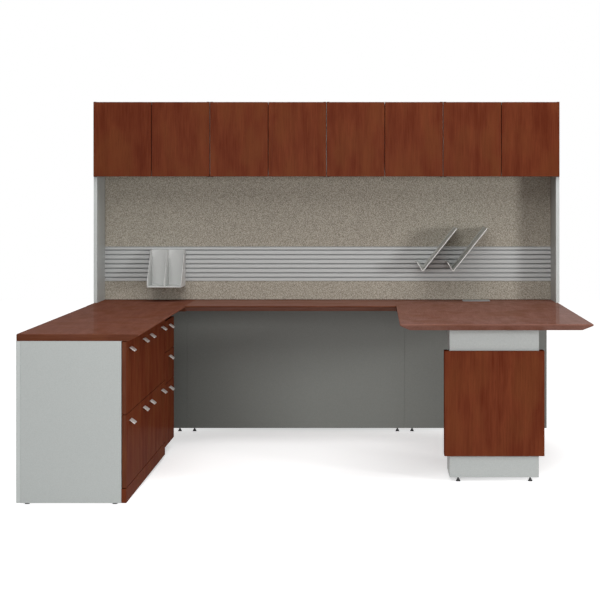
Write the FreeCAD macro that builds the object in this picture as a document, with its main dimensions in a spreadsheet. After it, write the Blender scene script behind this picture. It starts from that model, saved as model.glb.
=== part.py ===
import FreeCAD, Part

import os
import re

import Sketcher

# Cubicle workstation: storage wing on the left, bridge along the back, peninsula on the right,
# overhead cupboards on two end gables. Millimetres. X runs to the right as one sits down to it,
# Y runs towards the back wall and Z up. The origin is on the floor under the middle of the whole.

# Driving dimensions, one cell each
sizes = {
    # the whole workstation
    "overallWidth": 2534,
    "overallDepth": 2638,
    "overallHeight": 1830,
    "floorGap": 18,
    "leftInset": 4,
    "rightInset": 7,
    "edgeSoft": 1,
    # worktops
    "worktopHeight": 737,
    "worktopThick": 30,
    "worktopSoft": 1.5,
    "edgeLand": 8,
    "bevelWidth": 44,
    "leftTopWidth": 522,
    "bridgeDepth": 613,
    "peninsulaWidth": 884,
    "peninsulaLength": 2043,
    "joinPlateLong": 150,
    "joinPlateWide": 50,
    "joinPlateThick": 3,
    "joinPlateInset": 100,
    # storage wing
    "backThick": 18,
    "gableThick": 19,
    "boardThick": 18,
    "frontThick": 19,
    "frontGap": 2.5,
    "frontOverhang": 53,
    "frontSeam": 3,
    "topReveal": 3,
    "plinthTop": 79,
    "lateralWidth": 762,
    "pedestalWidth": 426,
    "pedestalGap": 7,
    "pedestalBottom": 52,
    "pedestalTopGap": 20,
    "pedestalBackGap": 2,
    "pedestalBackThick": 12,
    "boxFrontHigh": 157,
    "baseRecess": 60,
    "spacerWide": 30,
    # drawers
    "boxRearGap": 35,
    "boxSideThick": 14,
    "boxBottomThick": 8,
    "boxRise": 20,
    "boxTopGap": 40,
    "runnerSpace": 12.6,
    "runnerClearance": 0.3,
    "runnerHigh": 36,
    "runnerRise": 30,
    "runnerSetback": 2,
    "runnerRearGap": 30,
    # pulls
    "pullWide": 76,
    "pullReach": 24,
    "pullShelf": 3,
    "pullTall": 19,
    "pullThick": 3,
    "lateralPullInset": 136,
    "lateralPullDrop": 41,
    "pedestalPullDrop": 37,
    # rear panels and the back of the hutch
    "panelThick": 25,
    "panelSeam": 0.1,
    "leftPanelLap": 47,
    "rightPanelLap": 54,
    "rearInset": 35,
    # hutch
    "hutchDepth": 330,
    "hutchGableThick": 19,
    "doorShare": 0.2205,
    "doorThick": 19,
    "doorGap": 2.5,
    "doorSeam": 3,
    "doorReveal": 2.5,
    "doorDrop": 12,
    "pivotInset": 8,
    "pivotDepth": 4.5,
    "pivotPinRadius": 2.5,
    "pivotPinLong": 12,
    "pivotFit": 0.05,
    "pivotFloat": 0.25,
    "bracketThick": 2,
    "bracketWide": 14,
    "bracketNose": 4,
    "bracketFootStart": 10,
    "bracketFootLong": 22,
    # tackboards and slat rail
    "boardReveal": 2.2,
    "boardSeam": 1,
    "railRise": 105,
    "railThick": 27,
    "grooveFirst": 22,
    "groovePitch": 25.4,
    "grooveLast": 16.6,
    "grooveHigh": 7,
    "grooveDeep": 11,
    "grooveLip": 4,
    "groovePocket": 5,
    "hookThick": 2.4,
    "hookRise": 3,
    "slideClearance": 0.3,
    # binder holder
    "holderLeft": 281,
    "holderWide": 189,
    "holderDrop": 25,
    "holderTall": 200,
    "holderDeep": 240,
    "holderTopDeep": 66,
    "holderNose": 24,
    "sheetThick": 3,
    # paper trays
    "trayLong": 302,
    "trayLip": 59,
    "trayLipAngle": 71,
    "trayFlange": 8,
    "trayFlangeRound": 6,
    "trayGusset": 45,
    "trayDeep": 300,
    "trayTilt": 51.5,
    "trayRight": 743,
    "traySpacing": 165,
    "trayFootRise": 63,
    "trayCorner": 30,
    "trayTabWide": 12,
    # peninsula base
    "baseSet": 245,
    "baseWidth": 414,
    "baseBehind": 146,
    "baseDeep": 300,
    "coverThick": 19,
    "coverOverhang": 24.5,
    "coverBottom": 118.5,
    "coverDrop": 102,
    "coverReturn": 70,
    # cable grommet
    "grommetSet": 442.5,
    "grommetGap": 40,
    "grommetWide": 150,
    "grommetDeep": 120,
    "rimHigh": 3,
    "rimLap": 6,
    "rimWide": 11,
    "collarDeep": 25,
    "collarFit": 0.3,
    "lidThick": 2.5,
    "lidFit": 0.4,
    "lidFloat": 0.3,
    "lidLedge": 4,
    "lidPivotInset": 5,
    "lidPinRadius": 1,
    "lidPinLong": 2,
    # levelling glides
    "glideRadius": 12,
    "glideNeck": 7,
    "glideFoot": 8,
    "glideStem": 4,
    "glideInset": 40,
    "glideSetback": 99,
    "glideSeamInset": 41,
}

laterals = 2
overheadBays = 4
doorsPerBay = 2
grooves = 7
hookGroove = 5
trayHookGrooves = (3, 5)

document = FreeCAD.newDocument("Workstation")
sheet = document.addObject("Spreadsheet::Sheet", "Sizes")
for row, (alias, size) in enumerate(sizes.items(), start=1):
    sheet.set(f"A{row}", alias)
    sheet.set(f"B{row}", str(size))
    sheet.setAlias(f"B{row}", alias)
document.recompute()

subParts = {}


def linked(formula):
    """Points each size named in a formula at its cell. Functions and the unit of angle stay."""
    return re.sub(r"\b(?!deg\b)[A-Za-z]\w*\b(?!\()", lambda word: "Sizes." + word.group(), formula)


def value(formula):
    """The length that a formula comes to."""
    return float(sheet.evalExpression(linked(formula)))


def keep(name, piece):
    """Makes a piece one of the sub-parts, under the name that it is kept by."""
    piece.Label = name
    subParts[name] = piece
    return piece


def place(piece, x, y, z):
    """Ties a piece's place to formulas."""
    for axis, formula in zip("xyz", (x, y, z)):
        piece.setExpression(f"Placement.Base.{axis}", linked(formula))


def between(piece, across, along, up):
    """Ties a block's three sizes to the two ends of each span."""
    for size, (low, high) in zip(("Length", "Width", "Height"), (across, along, up)):
        piece.setExpression(size, linked(f"({high}) - ({low})"))


def board(name, across, along, up):
    """A plain square-edged board."""
    piece = document.addObject("Part::Box", name)
    between(piece, across, along, up)
    place(piece, across[0], along[0], up[0])
    return piece


def group(name, pieces):
    """Separate solids that make one sub-part."""
    joined = document.addObject("Part::Compound", name)
    joined.Links = pieces
    return keep(name, joined)


def newBody(name, x, y, z):
    """An empty body whose own origin lies at the given place."""
    body = document.addObject("PartDesign::Body", name)
    place(body, x, y, z)
    return body


def softened(body, feature, size="edgeSoft", chosen=None):
    """Breaks the edges of a body's last feature, or only those that a test picks."""
    document.recompute()
    edges = [
        f"Edge{number}"
        for number, edge in enumerate(feature.Shape.Edges, start=1)
        if chosen is None or chosen(edge)
    ]
    soft = body.newObject("PartDesign::Chamfer", feature.Name + "Soft")
    soft.Base = (feature, edges)
    soft.setExpression("Size", linked(size))
    return soft


def finishedBoard(name, across, along, up, size="edgeSoft"):
    """A board with all its edges slightly broken, as a lipped or laminated panel has."""
    body = newBody(name, across[0], along[0], up[0])
    block = body.newObject("PartDesign::AdditiveBox", name + "Block")
    between(block, across, along, up)
    softened(body, block, size)
    return keep(name, body)


def outline(body, plane, name, corners):
    """A closed outline on one of the body's own planes, each corner tied to formulas."""
    sketch = body.newObject("Sketcher::SketchObject", name)
    support = next(item for item in body.Origin.OriginFeatures if item.Role == plane)
    sketch.AttachmentSupport = [(support, "")]
    sketch.MapMode = "FlatFace"
    places = [FreeCAD.Vector(value(first), value(second), 0) for first, second in corners]
    count = len(places)
    for index in range(count):
        sketch.addGeometry(Part.LineSegment(places[index], places[(index + 1) % count]), False)
    for index in range(count):
        sketch.addConstraint(Sketcher.Constraint("Coincident", index, 2, (index + 1) % count, 1))
    for index, corner in enumerate(corners):
        for way, formula in zip(("DistanceX", "DistanceY"), corner):
            rule = Sketcher.Constraint(way, -1, 1, index, 1, value(formula))
            number = sketch.addConstraint(rule)
            sketch.setExpression(f"Constraints[{number}]", linked(formula))
    return sketch


def pad(body, sketch, name, length, backwards=False):
    """Grows an outline into a solid of the given length."""
    feature = body.newObject("PartDesign::Pad", name)
    feature.Profile = (sketch, [""])
    feature.setExpression("Length", linked(length))
    feature.Reversed = backwards
    document.recompute()
    return feature


def cut(body, sketch, name, length=None):
    """Cuts an outline away, right through the body or over one length, and checks that it did."""
    document.recompute()
    before = body.Shape.Volume
    feature = body.newObject("PartDesign::Pocket", name)
    feature.Profile = (sketch, [""])
    if length is None:
        feature.Type = "ThroughAll"
        feature.SideType = "Symmetric"
    else:
        feature.setExpression("Length", linked(length))
    document.recompute()
    if body.Shape.Volume >= before:
        raise ValueError(f"{name} removes nothing")
    return feature


# Places that several sub-parts share
left = "(-overallWidth / 2)"
right = "(overallWidth / 2)"
front = "(-overallDepth / 2)"
rear = "(overallDepth / 2)"
topLeft = f"({left} + leftInset)"
topRight = f"({right} - rightInset)"
underTop = "(worktopHeight - worktopThick)"
bevelRise = "(worktopThick - edgeLand)"
innerEdge = f"({topLeft} + leftTopWidth)"
faceX = f"({innerEdge} - frontOverhang)"
faceBack = f"({faceX} - frontThick)"
caseFront = f"({faceBack} - frontGap)"
caseBack = f"({topLeft} + backThick)"
bridgeFront = f"({rear} - bridgeDepth)"
peninsulaLeft = f"({topRight} - peninsulaWidth)"
peninsulaFront = f"({rear} - peninsulaLength)"
panelFace = f"({rear} - panelThick)"
railFace = f"({rear} - railThick)"
hutchFront = f"({rear} - hutchDepth)"
hutchLeft = f"({left} + hutchGableThick)"
hutchRight = f"({right} - hutchGableThick)"
doorHigh = "(overallHeight * doorShare)"
doorTop = "(overallHeight - doorReveal)"
doorBottom = f"({doorTop} - {doorHigh})"
doorFront = f"({hutchFront} - doorGap - doorThick)"
topSpan = (underTop, "worktopHeight")
panelSpan = ("floorGap", underTop)


def isUpperEdge(height):
    """Picks the edges that lie in a body's top face."""
    return lambda edge: edge.BoundBox.ZMin > height - value("edgeSoft") / 2


def worktop(name, across, along):
    """A worktop before its edges are bevelled."""
    body = newBody(name, across[0], along[0], underTop)
    block = body.newObject("PartDesign::AdditiveBox", name + "Block")
    between(block, across, along, topSpan)
    return body


def sideBevel(body, name, edge, inward, length):
    """Undercuts a worktop's side, from its front end over the given length."""
    corners = [(edge, "0"), (inward, "0"), (edge, bevelRise)]
    return cut(body, outline(body, "XZ_Plane", name + "Outline", corners), name, length)


def frontBevel(body, name):
    """Undercuts a worktop's front, from side to side."""
    corners = [("0", "0"), ("bevelWidth", "0"), ("0", bevelRise)]
    return cut(body, outline(body, "YZ_Plane", name + "Outline", corners), name)


def worktops():
    """Three tops that meet edge to edge, with thin undercut edges on the sitter's side."""
    leftTop = worktop("left_worktop", (topLeft, innerEdge), (front, rear))
    opening = f"{bridgeFront} - ({front})"
    bevel = sideBevel(leftTop, "leftTopBevel", "leftTopWidth", "leftTopWidth - bevelWidth", opening)
    softened(leftTop, bevel, "worktopSoft", isUpperEdge(value("worktopThick")))
    keep("left_worktop", leftTop)

    bridge = worktop("bridge_worktop", (innerEdge, peninsulaLeft), (bridgeFront, rear))
    softened(bridge, frontBevel(bridge, "bridgeBevel"), "edgeSoft", isUpperEdge(value("worktopThick")))
    keep("bridge_worktop", bridge)

    peninsula = worktop("peninsula_worktop", (peninsulaLeft, topRight), (peninsulaFront, rear))
    free = f"{bridgeFront} - ({peninsulaFront})"
    sideBevel(peninsula, "peninsulaLeftBevel", "0", "bevelWidth", free)
    inward = "peninsulaWidth - bevelWidth"
    sideBevel(peninsula, "peninsulaRightBevel", "peninsulaWidth", inward, "peninsulaLength")
    frontBevel(peninsula, "peninsulaFrontBevel")
    holeMiddle = "(peninsulaWidth + rightInset - grommetSet)"
    nearSide = f"{holeMiddle} - grommetWide / 2 + rimLap"
    farSide = f"{holeMiddle} + grommetWide / 2 - rimLap"
    farEnd = "peninsulaLength - panelThick - grommetGap - rimLap"
    nearEnd = f"{farEnd} - grommetDeep + 2 * rimLap"
    corners = [(nearSide, nearEnd), (farSide, nearEnd), (farSide, farEnd), (nearSide, farEnd)]
    hole = cut(peninsula, outline(peninsula, "XY_Plane", "grommetCut", corners), "grommetHole")
    softened(peninsula, hole, "edgeSoft", isUpperEdge(value("worktopThick")))
    keep("peninsula_worktop", peninsula)

    plates = []
    for seam in (innerEdge, peninsulaLeft):
        for start in (f"{bridgeFront} + joinPlateInset", f"{panelFace} - joinPlateInset - joinPlateWide"):
            across = (f"{seam} - joinPlateLong / 2", f"{seam} + joinPlateLong / 2")
            along = (start, f"{start} + joinPlateWide")
            plates.append(board("joinPlate", across, along, (f"{underTop} - joinPlateThick", underTop)))
    group("worktop_joint_plates", plates)


def pull(x, y, z):
    """A bent metal tab: a short shelf, then a blade that slopes down and outwards."""
    body = newBody("pull", x, y, z)
    corners = [
        ("0", "pullTall"),
        ("pullShelf", "pullTall"),
        ("pullReach", "pullThick"),
        ("pullReach", "0"),
        ("pullShelf", "pullTall - pullThick"),
        ("0", "pullTall - pullThick"),
    ]
    pad(body, outline(body, "XZ_Plane", "pullOutline", corners), "pullBlade", "pullWide", True)
    return body


def drawer(name, frontSpan, inner, low, high, pullCentres, pullDrop):
    """One drawer: its wooden front, its box with the moving runners, and its pulls.

    Returns the two fixed runner members, which the case carries."""
    finishedBoard(name + "_front", (faceX + " - frontThick", faceX), frontSpan, (low, high))
    boxBack = f"({caseBack} + boxRearGap)"
    outer = (f"({inner[0]} + runnerSpace)", f"({inner[1]} - runnerSpace)")
    inside = (f"({outer[0]} + boxSideThick)", f"({outer[1]} - boxSideThick)")
    up = (f"({low} + boxRise)", f"({high} - boxTopGap)")
    ends = (f"({boxBack} + boxSideThick)", f"({faceBack} - boxSideThick)")
    member = "(runnerSpace - runnerClearance) / 2"
    runnerUp = (f"{up[0]} + runnerRise", f"{up[0]} + runnerRise + runnerHigh")
    runnerAcross = (f"{caseBack} + runnerRearGap", f"{caseFront} - runnerSetback")
    parts = [
        board(name + "NearSide", (boxBack, faceBack), (outer[0], inside[0]), up),
        board(name + "FarSide", (boxBack, faceBack), (inside[1], outer[1]), up),
        board(name + "Back", (boxBack, ends[0]), inside, up),
        board(name + "InnerFront", (ends[1], faceBack), inside, up),
        board(name + "Bottom", ends, inside, (up[0], f"{up[0]} + boxBottomThick")),
        board(name + "NearSlide", runnerAcross, (f"{outer[0]} - {member}", outer[0]), runnerUp),
        board(name + "FarSlide", runnerAcross, (outer[1], f"{outer[1]} + {member}"), runnerUp),
    ]
    group(name + "_box", parts)
    pullLow = f"{high} - {pullDrop} - pullTall / 2"
    pulls = [pull(faceX, f"{centre} - pullWide / 2", pullLow) for centre in pullCentres]
    group(name + ("_pulls" if len(pulls) > 1 else "_pull"), pulls)
    return [
        board(name + "NearRunner", runnerAcross, (inner[0], f"{inner[0]} + {member}"), runnerUp),
        board(name + "FarRunner", runnerAcross, (f"{inner[1]} - {member}", inner[1]), runnerUp),
    ]


def storageWing():
    """Two lateral files with two drawers each, and a pedestal with two box drawers over a file."""
    panelSides = (topLeft, caseBack)
    depth = (caseBack, caseFront)
    finishedBoard("left_end_gable", depth, (front, f"{front} + gableThick"), panelSpan)
    finishedBoard("left_back_panel", panelSides, (front, panelFace), panelSpan)
    plinthEnd = f"{front} + {laterals} * lateralWidth"
    finishedBoard("lateral_plinth", (caseFront, faceX), (front, plinthEnd), ("floorGap", "plinthTop"))

    runners = []
    floorSpan = ("plinthTop", "plinthTop + boardThick")
    roofSpan = (f"{underTop} - boardThick", underTop)
    frontHigh = f"(({underTop} - topReveal - plinthTop - {laterals} * frontSeam) / 2)"
    lowerSpan = ("plinthTop + frontSeam", f"plinthTop + frontSeam + {frontHigh}")
    upperSpan = (f"{underTop} - topReveal - {frontHigh}", f"{underTop} - topReveal")
    for index, unit in enumerate(("near", "far")):
        start = f"({front} + {index} * lateralWidth)"
        end = f"({start} + lateralWidth)"
        nearWall = "gableThick" if index == 0 else "boardThick"
        inner = (f"({start} + {nearWall})", f"({end} - boardThick)")
        boards = [
            board(unit + "FarWall", depth, (inner[1], end), panelSpan),
            board(unit + "Floor", depth, inner, floorSpan),
            board(unit + "Roof", depth, inner, roofSpan),
        ]
        if index > 0:
            boards.append(board(unit + "NearWall", depth, (start, inner[0]), panelSpan))
        else:
            # the end gable hangs free of the floor, so a rail behind it carries the glides
            rail = (f"{start} + glideSetback - boardThick / 2", f"{start} + glideSetback + boardThick / 2")
            boards.append(board(unit + "BaseRail", depth, rail, ("floorGap", "plinthTop")))
        group(unit + "_lateral_case", boards)
        frontSpan = (f"{start} + frontSeam / 2", f"{end} - frontSeam / 2")
        centres = (f"{start} + lateralPullInset", f"{end} - lateralPullInset")
        for row, span in (("lower", lowerSpan), ("upper", upperSpan)):
            name = f"{unit}_{row}_drawer"
            runners += drawer(name, frontSpan, inner, span[0], span[1], centres, "lateralPullDrop")

    start = f"({front} + {laterals} * lateralWidth + pedestalGap)"
    end = f"({start} + pedestalWidth)"
    top = f"({underTop} - pedestalTopGap)"
    inner = (f"({start} + boardThick)", f"({end} - boardThick)")
    caseUp = ("pedestalBottom", top)
    backEnd = f"{caseBack} + pedestalBackGap + pedestalBackThick"
    boards = [
        board("pedestalNearWall", (backEnd, caseFront), (start, inner[0]), caseUp),
        board("pedestalFarWall", (backEnd, caseFront), (inner[1], end), caseUp),
        board("pedestalFloor", (backEnd, caseFront), inner, (caseUp[0], "pedestalBottom + boardThick")),
        board("pedestalRoof", (backEnd, caseFront), inner, (f"{top} - boardThick", top)),
        board("pedestalBack", (f"{caseBack} + pedestalBackGap", backEnd), (start, end), caseUp),
    ]
    group("pedestal_case", boards)
    baseAcross = (f"({caseBack} + baseRecess)", f"({caseFront} - baseRecess)")
    baseSides = (f"({start} + boardThick)", f"({end} - boardThick)")
    baseUp = ("floorGap", "pedestalBottom")
    walls = (f"{baseSides[0]} + boardThick", f"{baseSides[1]} - boardThick")
    boards = [
        board("baseNear", baseAcross, (baseSides[0], walls[0]), baseUp),
        board("baseFar", baseAcross, (walls[1], baseSides[1]), baseUp),
        board("baseBack", (baseAcross[0], f"{baseAcross[0]} + boardThick"), walls, baseUp),
        board("baseFront", (f"{baseAcross[1]} - boardThick", baseAcross[1]), walls, baseUp),
    ]
    group("pedestal_base", boards)
    spacers = [
        board("spacer", baseAcross, (start, f"{start} + spacerWide"), (top, underTop)),
        board("spacer", baseAcross, (f"{end} - spacerWide", end), (top, underTop)),
    ]
    group("pedestal_spacers", spacers)

    frontSpan = (f"{start} + frontSeam / 2", f"{end} - frontSeam / 2")
    centre = [f"({start} + {end}) / 2"]
    topLow = f"{top} - boxFrontHigh"
    middleHigh = f"{topLow} - frontSeam"
    middleLow = f"{middleHigh} - boxFrontHigh"
    rows = (
        ("pedestal_file_drawer", "pedestalBottom", f"({middleLow} - frontSeam)"),
        ("pedestal_middle_drawer", f"({middleLow})", f"({middleHigh})"),
        ("pedestal_top_drawer", f"({topLow})", top),
    )
    for name, low, high in rows:
        runners += drawer(name, frontSpan, inner, low, high, centre, "pedestalPullDrop")
    group("drawer_runners", runners)


def rearPanels():
    """Three laminate panels that close the back below the worktops."""
    start = topLeft
    firstSeam = f"({innerEdge} - leftPanelLap)"
    secondSeam = f"({peninsulaLeft} + rightPanelLap)"
    along = (panelFace, rear)
    half = "panelSeam / 2"
    finishedBoard("left_rear_panel", (start, f"{firstSeam} - {half}"), along, panelSpan)
    finishedBoard("middle_rear_panel", (f"{firstSeam} + {half}", f"{secondSeam} - {half}"), along, panelSpan)
    finishedBoard("right_rear_panel", (f"{secondSeam} + {half}", f"{topRight} - rearInset"), along, panelSpan)
    return firstSeam, secondSeam


def doorPivots(inner):
    """The two bracket plates of one door, each with its pin, and the foot of the lower one."""
    pivotY = f"({doorFront} + pivotDepth)"
    across = (f"{inner} - bracketWide / 2", f"{inner} + bracketWide / 2")
    upper = (f"{doorTop} + pivotFloat", f"{doorTop} + pivotFloat + bracketThick")
    lower = (f"{doorBottom} - pivotFloat - bracketThick", f"{doorBottom} - pivotFloat")
    plates = [
        (upper, f"{upper[0]} - pivotPinLong"),
        (lower, lower[1]),
    ]
    pieces = []
    for span, pinLow in plates:
        plate = board("bracketPlate", across, (f"{pivotY} - bracketNose", hutchFront), span)
        pin = document.addObject("Part::Cylinder", "bracketPin")
        pin.setExpression("Radius", linked("pivotPinRadius"))
        pin.setExpression("Height", linked("pivotPinLong"))
        place(pin, inner, pivotY, pinLow)
        bracket = document.addObject("Part::Fuse", "bracket")
        bracket.Base = plate
        bracket.Tool = pin
        pieces.append(bracket)
    return pieces, across, lower


def door(name, start, end, pivotX):
    """A flat wooden door with a blind hole in its top and its bottom edge for the pivot pins."""
    body = newBody(name, start, doorFront, doorBottom)
    block = body.newObject("PartDesign::AdditiveBox", name + "Block")
    between(block, (start, end), (doorFront, f"{doorFront} + doorThick"), (doorBottom, doorTop))
    softened(body, block)
    document.recompute()
    depth = "(pivotPinLong + pivotFloat)"
    for level in ("0", f"{doorHigh} - {depth}"):
        before = body.Shape.Volume
        hole = body.newObject("PartDesign::SubtractiveCylinder", name + "Hole")
        hole.setExpression("Radius", linked("pivotPinRadius + pivotFit"))
        hole.setExpression("Height", linked(depth))
        place(hole, f"({pivotX}) - ({start})", "pivotDepth", level)
        document.recompute()
        if body.Shape.Volume >= before:
            raise ValueError(f"{name} has no pivot hole")
    keep(name, body)


def hutch():
    """Two end gables on the worktops, and the overhead case with its doors in pairs."""
    gableUp = ("worktopHeight", "overallHeight")
    finishedBoard("hutch_left_gable", (left, hutchLeft), (hutchFront, rear), gableUp)
    finishedBoard("hutch_right_gable", (hutchRight, right), (hutchFront, rear), gableUp)

    caseBottom = f"({doorBottom} + doorDrop)"
    backStart = f"({rear} - boardThick)"
    floorTop = f"({caseBottom} + boardThick)"
    roofLow = "(overallHeight - boardThick)"
    along = (hutchFront, backStart)
    boards = [
        board("overheadRoof", (hutchLeft, hutchRight), along, (roofLow, "overallHeight")),
        board("overheadFloor", (hutchLeft, hutchRight), along, (caseBottom, floorTop)),
        board("overheadBack", (hutchLeft, hutchRight), (backStart, rear), (caseBottom, "overallHeight")),
    ]
    bay = f"(overallWidth / {overheadBays})"
    for index in range(1, overheadBays):
        middle = f"({left} + {index} * {bay})"
        across = (f"{middle} - boardThick / 2", f"{middle} + boardThick / 2")
        boards.append(board("overheadDivider", across, along, (floorTop, roofLow)))
    group("overhead_case", boards)

    brackets = []
    pitch = f"({bay} / {doorsPerBay})"
    for index in range(overheadBays * doorsPerBay):
        start = f"({left} + {index} * {pitch} + doorSeam / 2)"
        end = f"({left} + {index + 1} * {pitch} - doorSeam / 2)"
        hungLeft = index % doorsPerBay == 0
        pivotX = f"({start} + pivotInset)" if hungLeft else f"({end} - pivotInset)"
        door(f"overhead_door_{index + 1}", start, end, pivotX)
        pieces, across, lower = doorPivots(pivotX)
        brackets += pieces
        if 0 < index < overheadBays * doorsPerBay - 1:
            # the lower plates away from the gables run back under the case on a foot
            footStart = f"({hutchFront} + bracketFootStart)"
            footEnd = f"({footStart} + bracketFootLong)"
            brackets.append(board("bracketTail", across, (hutchFront, footEnd), lower))
            brackets.append(board("bracketFoot", across, (footStart, footEnd), (lower[1], caseBottom)))
    group("door_pivot_brackets", brackets)
    return caseBottom


def grooveHeight(number):
    """The height of the middle of one groove, counted from the lowest."""
    return f"(worktopHeight + railRise + grooveFirst + {number} * groovePitch)"


def wallBoards(caseBottom):
    """The tackboards above and below the slotted rail, from gable to gable."""
    across = (hutchLeft, hutchRight)
    railBottom = "(worktopHeight + railRise)"
    railTop = f"({railBottom} + grooveFirst + {grooves - 1} * groovePitch + grooveLast)"
    lowerUp = ("worktopHeight + boardReveal", f"{railBottom} - boardSeam")
    finishedBoard("lower_tackboard", across, (panelFace, rear), lowerUp)
    finishedBoard("upper_tackboard", across, (panelFace, rear), (f"{railTop} + boardSeam", caseBottom))

    plateFace = f"({railFace} + grooveDeep)"
    lipBack = f"({railFace} + grooveLip)"
    pieces = [board("railPlate", across, (plateFace, rear), (railBottom, railTop))]
    for number in range(grooves + 1):
        first = number == 0
        last = number == grooves
        low = railBottom if first else f"({grooveHeight(number - 1)} + grooveHigh / 2)"
        high = railTop if last else f"({grooveHeight(number)} - grooveHigh / 2)"
        # the lip of each slat but the lowest hangs in front of the pocket that hooks go up into
        coreLow = low if first else f"({low} + groovePocket)"
        pieces.append(board("slatLip", across, (railFace, lipBack), (low, high)))
        pieces.append(board("slatCore", across, (lipBack, plateFace), (coreLow, high)))
    group("slat_rail", pieces)


def hookCorners(back, level):
    """A hook's outline, seen from the side: out behind the groove's lip and up into its pocket."""
    legLow = f"({level} - grooveHigh / 2 + slideClearance)"
    inner = f"({back} + slideClearance + grooveLip + slideClearance)"
    legHigh = f"({legLow} + hookThick)"
    tip = f"({level} + grooveHigh / 2 + hookRise)"
    return inner, legLow, legHigh, tip


def binderHolder():
    """A sheet metal holder for upright binders, hooked over a groove of the rail."""
    plateBack = f"({railFace} - slideClearance)"
    bottom = "(worktopHeight + railRise - holderDrop)"
    body = newBody("binder_holder", f"{left} + holderLeft", f"{plateBack} - holderDeep", bottom)
    back = [
        ("holderDeep - sheetThick", "0"),
        ("holderDeep", "0"),
        ("holderDeep", "holderTall"),
        ("holderDeep - sheetThick", "holderTall"),
    ]
    shelf = [("0", "0"), ("holderDeep", "0"), ("holderDeep", "sheetThick"), ("0", "sheetThick")]
    cheek = [
        ("0", "0"),
        ("holderDeep", "0"),
        ("holderDeep", "holderTall"),
        ("holderDeep - holderTopDeep", "holderTall"),
        ("0", "holderNose"),
    ]
    inner, legLow, legHigh, tip = hookCorners("holderDeep", f"{grooveHeight(hookGroove)} - {bottom}")
    hook = [
        ("holderDeep - sheetThick", legLow),
        (f"{inner} + hookThick", legLow),
        (f"{inner} + hookThick", tip),
        (inner, tip),
        (inner, legHigh),
        ("holderDeep - sheetThick", legHigh),
    ]
    pad(body, outline(body, "YZ_Plane", "holderBack", back), "holderBackPlate", "holderWide")
    pad(body, outline(body, "YZ_Plane", "holderShelf", shelf), "holderShelfPlate", "holderWide")
    pad(body, outline(body, "YZ_Plane", "holderHook", hook), "holderHookStrip", "holderWide")
    cheekPad = pad(body, outline(body, "YZ_Plane", "holderCheek", cheek), "holderCheekPlate", "sheetThick")
    pattern = body.newObject("PartDesign::LinearPattern", "cheekRow")
    pattern.Originals = [cheekPad]
    sideways = next(item for item in body.Origin.OriginFeatures if item.Role == "X_Axis")
    pattern.Direction = (sideways, [""])
    pattern.Occurrences = 3
    pattern.setExpression("Length", linked("holderWide - sheetThick"))
    body.Tip = pattern
    document.recompute()
    keep("binder_holder", body)


def paperTray(name, number):
    """A tray bent from one sheet, leaning to the right, with a flange along the wall and two hooks."""
    footX = f"({right} - trayRight + {number} * traySpacing)"
    footZ = "(worktopHeight + railRise + trayFootRise)"
    backY = f"({railFace} - slideClearance)"
    lean = FreeCAD.Rotation(FreeCAD.Vector(0, -1, 0), value("trayTilt"))
    # the tray's own X runs up its slope, and its own Z square to the slope
    lipAlong = "cos(trayLipAngle * 1 deg)"
    lipUp = "sin(trayLipAngle * 1 deg)"
    lipOuter = (f"trayLip * {lipAlong}", f"trayLip * {lipUp}")
    lipInner = (f"{lipOuter[0]} + sheetThick * {lipUp}", f"{lipOuter[1]} - sheetThick * {lipAlong}")
    fold = ("sheetThick / tan(trayLipAngle / 2 * 1 deg)", "sheetThick")
    bend = [("0", "0"), ("trayLong", "0"), ("trayLong", "sheetThick"), fold, lipInner, lipOuter]
    flange = [
        ("0", "0"),
        ("trayLong", "0"),
        ("trayLong", "trayFlange"),
        ("trayGusset", "trayFlange"),
        lipInner,
        lipOuter,
    ]

    def leaning(part, start, corners, deep, chosen, radius):
        body = newBody(name + part, footX, start, footZ)
        body.Placement.Rotation = lean
        body.setExpression("Placement.Rotation.Angle", linked("trayTilt * 1 deg"))
        sketch = outline(body, "XZ_Plane", name + part + "Outline", corners)
        solid = pad(body, sketch, name + part, deep, True)
        rounding = body.newObject("PartDesign::Fillet", name + part + "Round")
        edges = [f"Edge{n}" for n, edge in enumerate(solid.Shape.Edges, start=1) if chosen(edge.BoundBox)]
        rounding.Base = (solid, edges)
        rounding.setExpression("Radius", linked(radius))
        return body

    topEnd = value("trayLong - sheetThick / 2")
    half = value("sheetThick / 2")
    sheetBody = leaning(
        "Sheet",
        f"{backY} - trayDeep",
        bend,
        "trayDeep",
        lambda box: box.XMin > topEnd and box.YMax < half,
        "trayCorner",
    )
    flangeBody = leaning(
        "Flange",
        f"{backY} - sheetThick",
        flange,
        "sheetThick",
        lambda box: box.XMin > topEnd and box.ZMin > value("trayFlange - sheetThick / 2"),
        "trayFlangeRound",
    )
    pieces = [sheetBody, flangeBody]
    for groove in trayHookGrooves:
        level = grooveHeight(groove)
        inner, legLow, legHigh, tip = hookCorners("sheetThick", "grooveHigh / 2")
        low = f"({level} - grooveHigh / 2)"
        slope = f"({footX} + ({level} - {footZ}) / tan(trayTilt * 1 deg))"
        middle = f"{slope} - trayFlange / sin(trayTilt * 1 deg) / 2"
        hook = newBody(name + "Hook", f"{middle} - trayTabWide / 2", f"{backY} - sheetThick", low)
        corners = [
            ("0", legLow),
            (f"{inner} + hookThick", legLow),
            (f"{inner} + hookThick", tip),
            (inner, tip),
            (inner, legHigh),
            ("0", legHigh),
        ]
        pad(hook, outline(hook, "YZ_Plane", name + "HookOutline", corners), name + "HookTab", "trayTabWide")
        pieces.append(hook)
    tray = document.addObject("Part::MultiFuse", name)
    tray.Shapes = pieces
    keep(name, tray)


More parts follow.
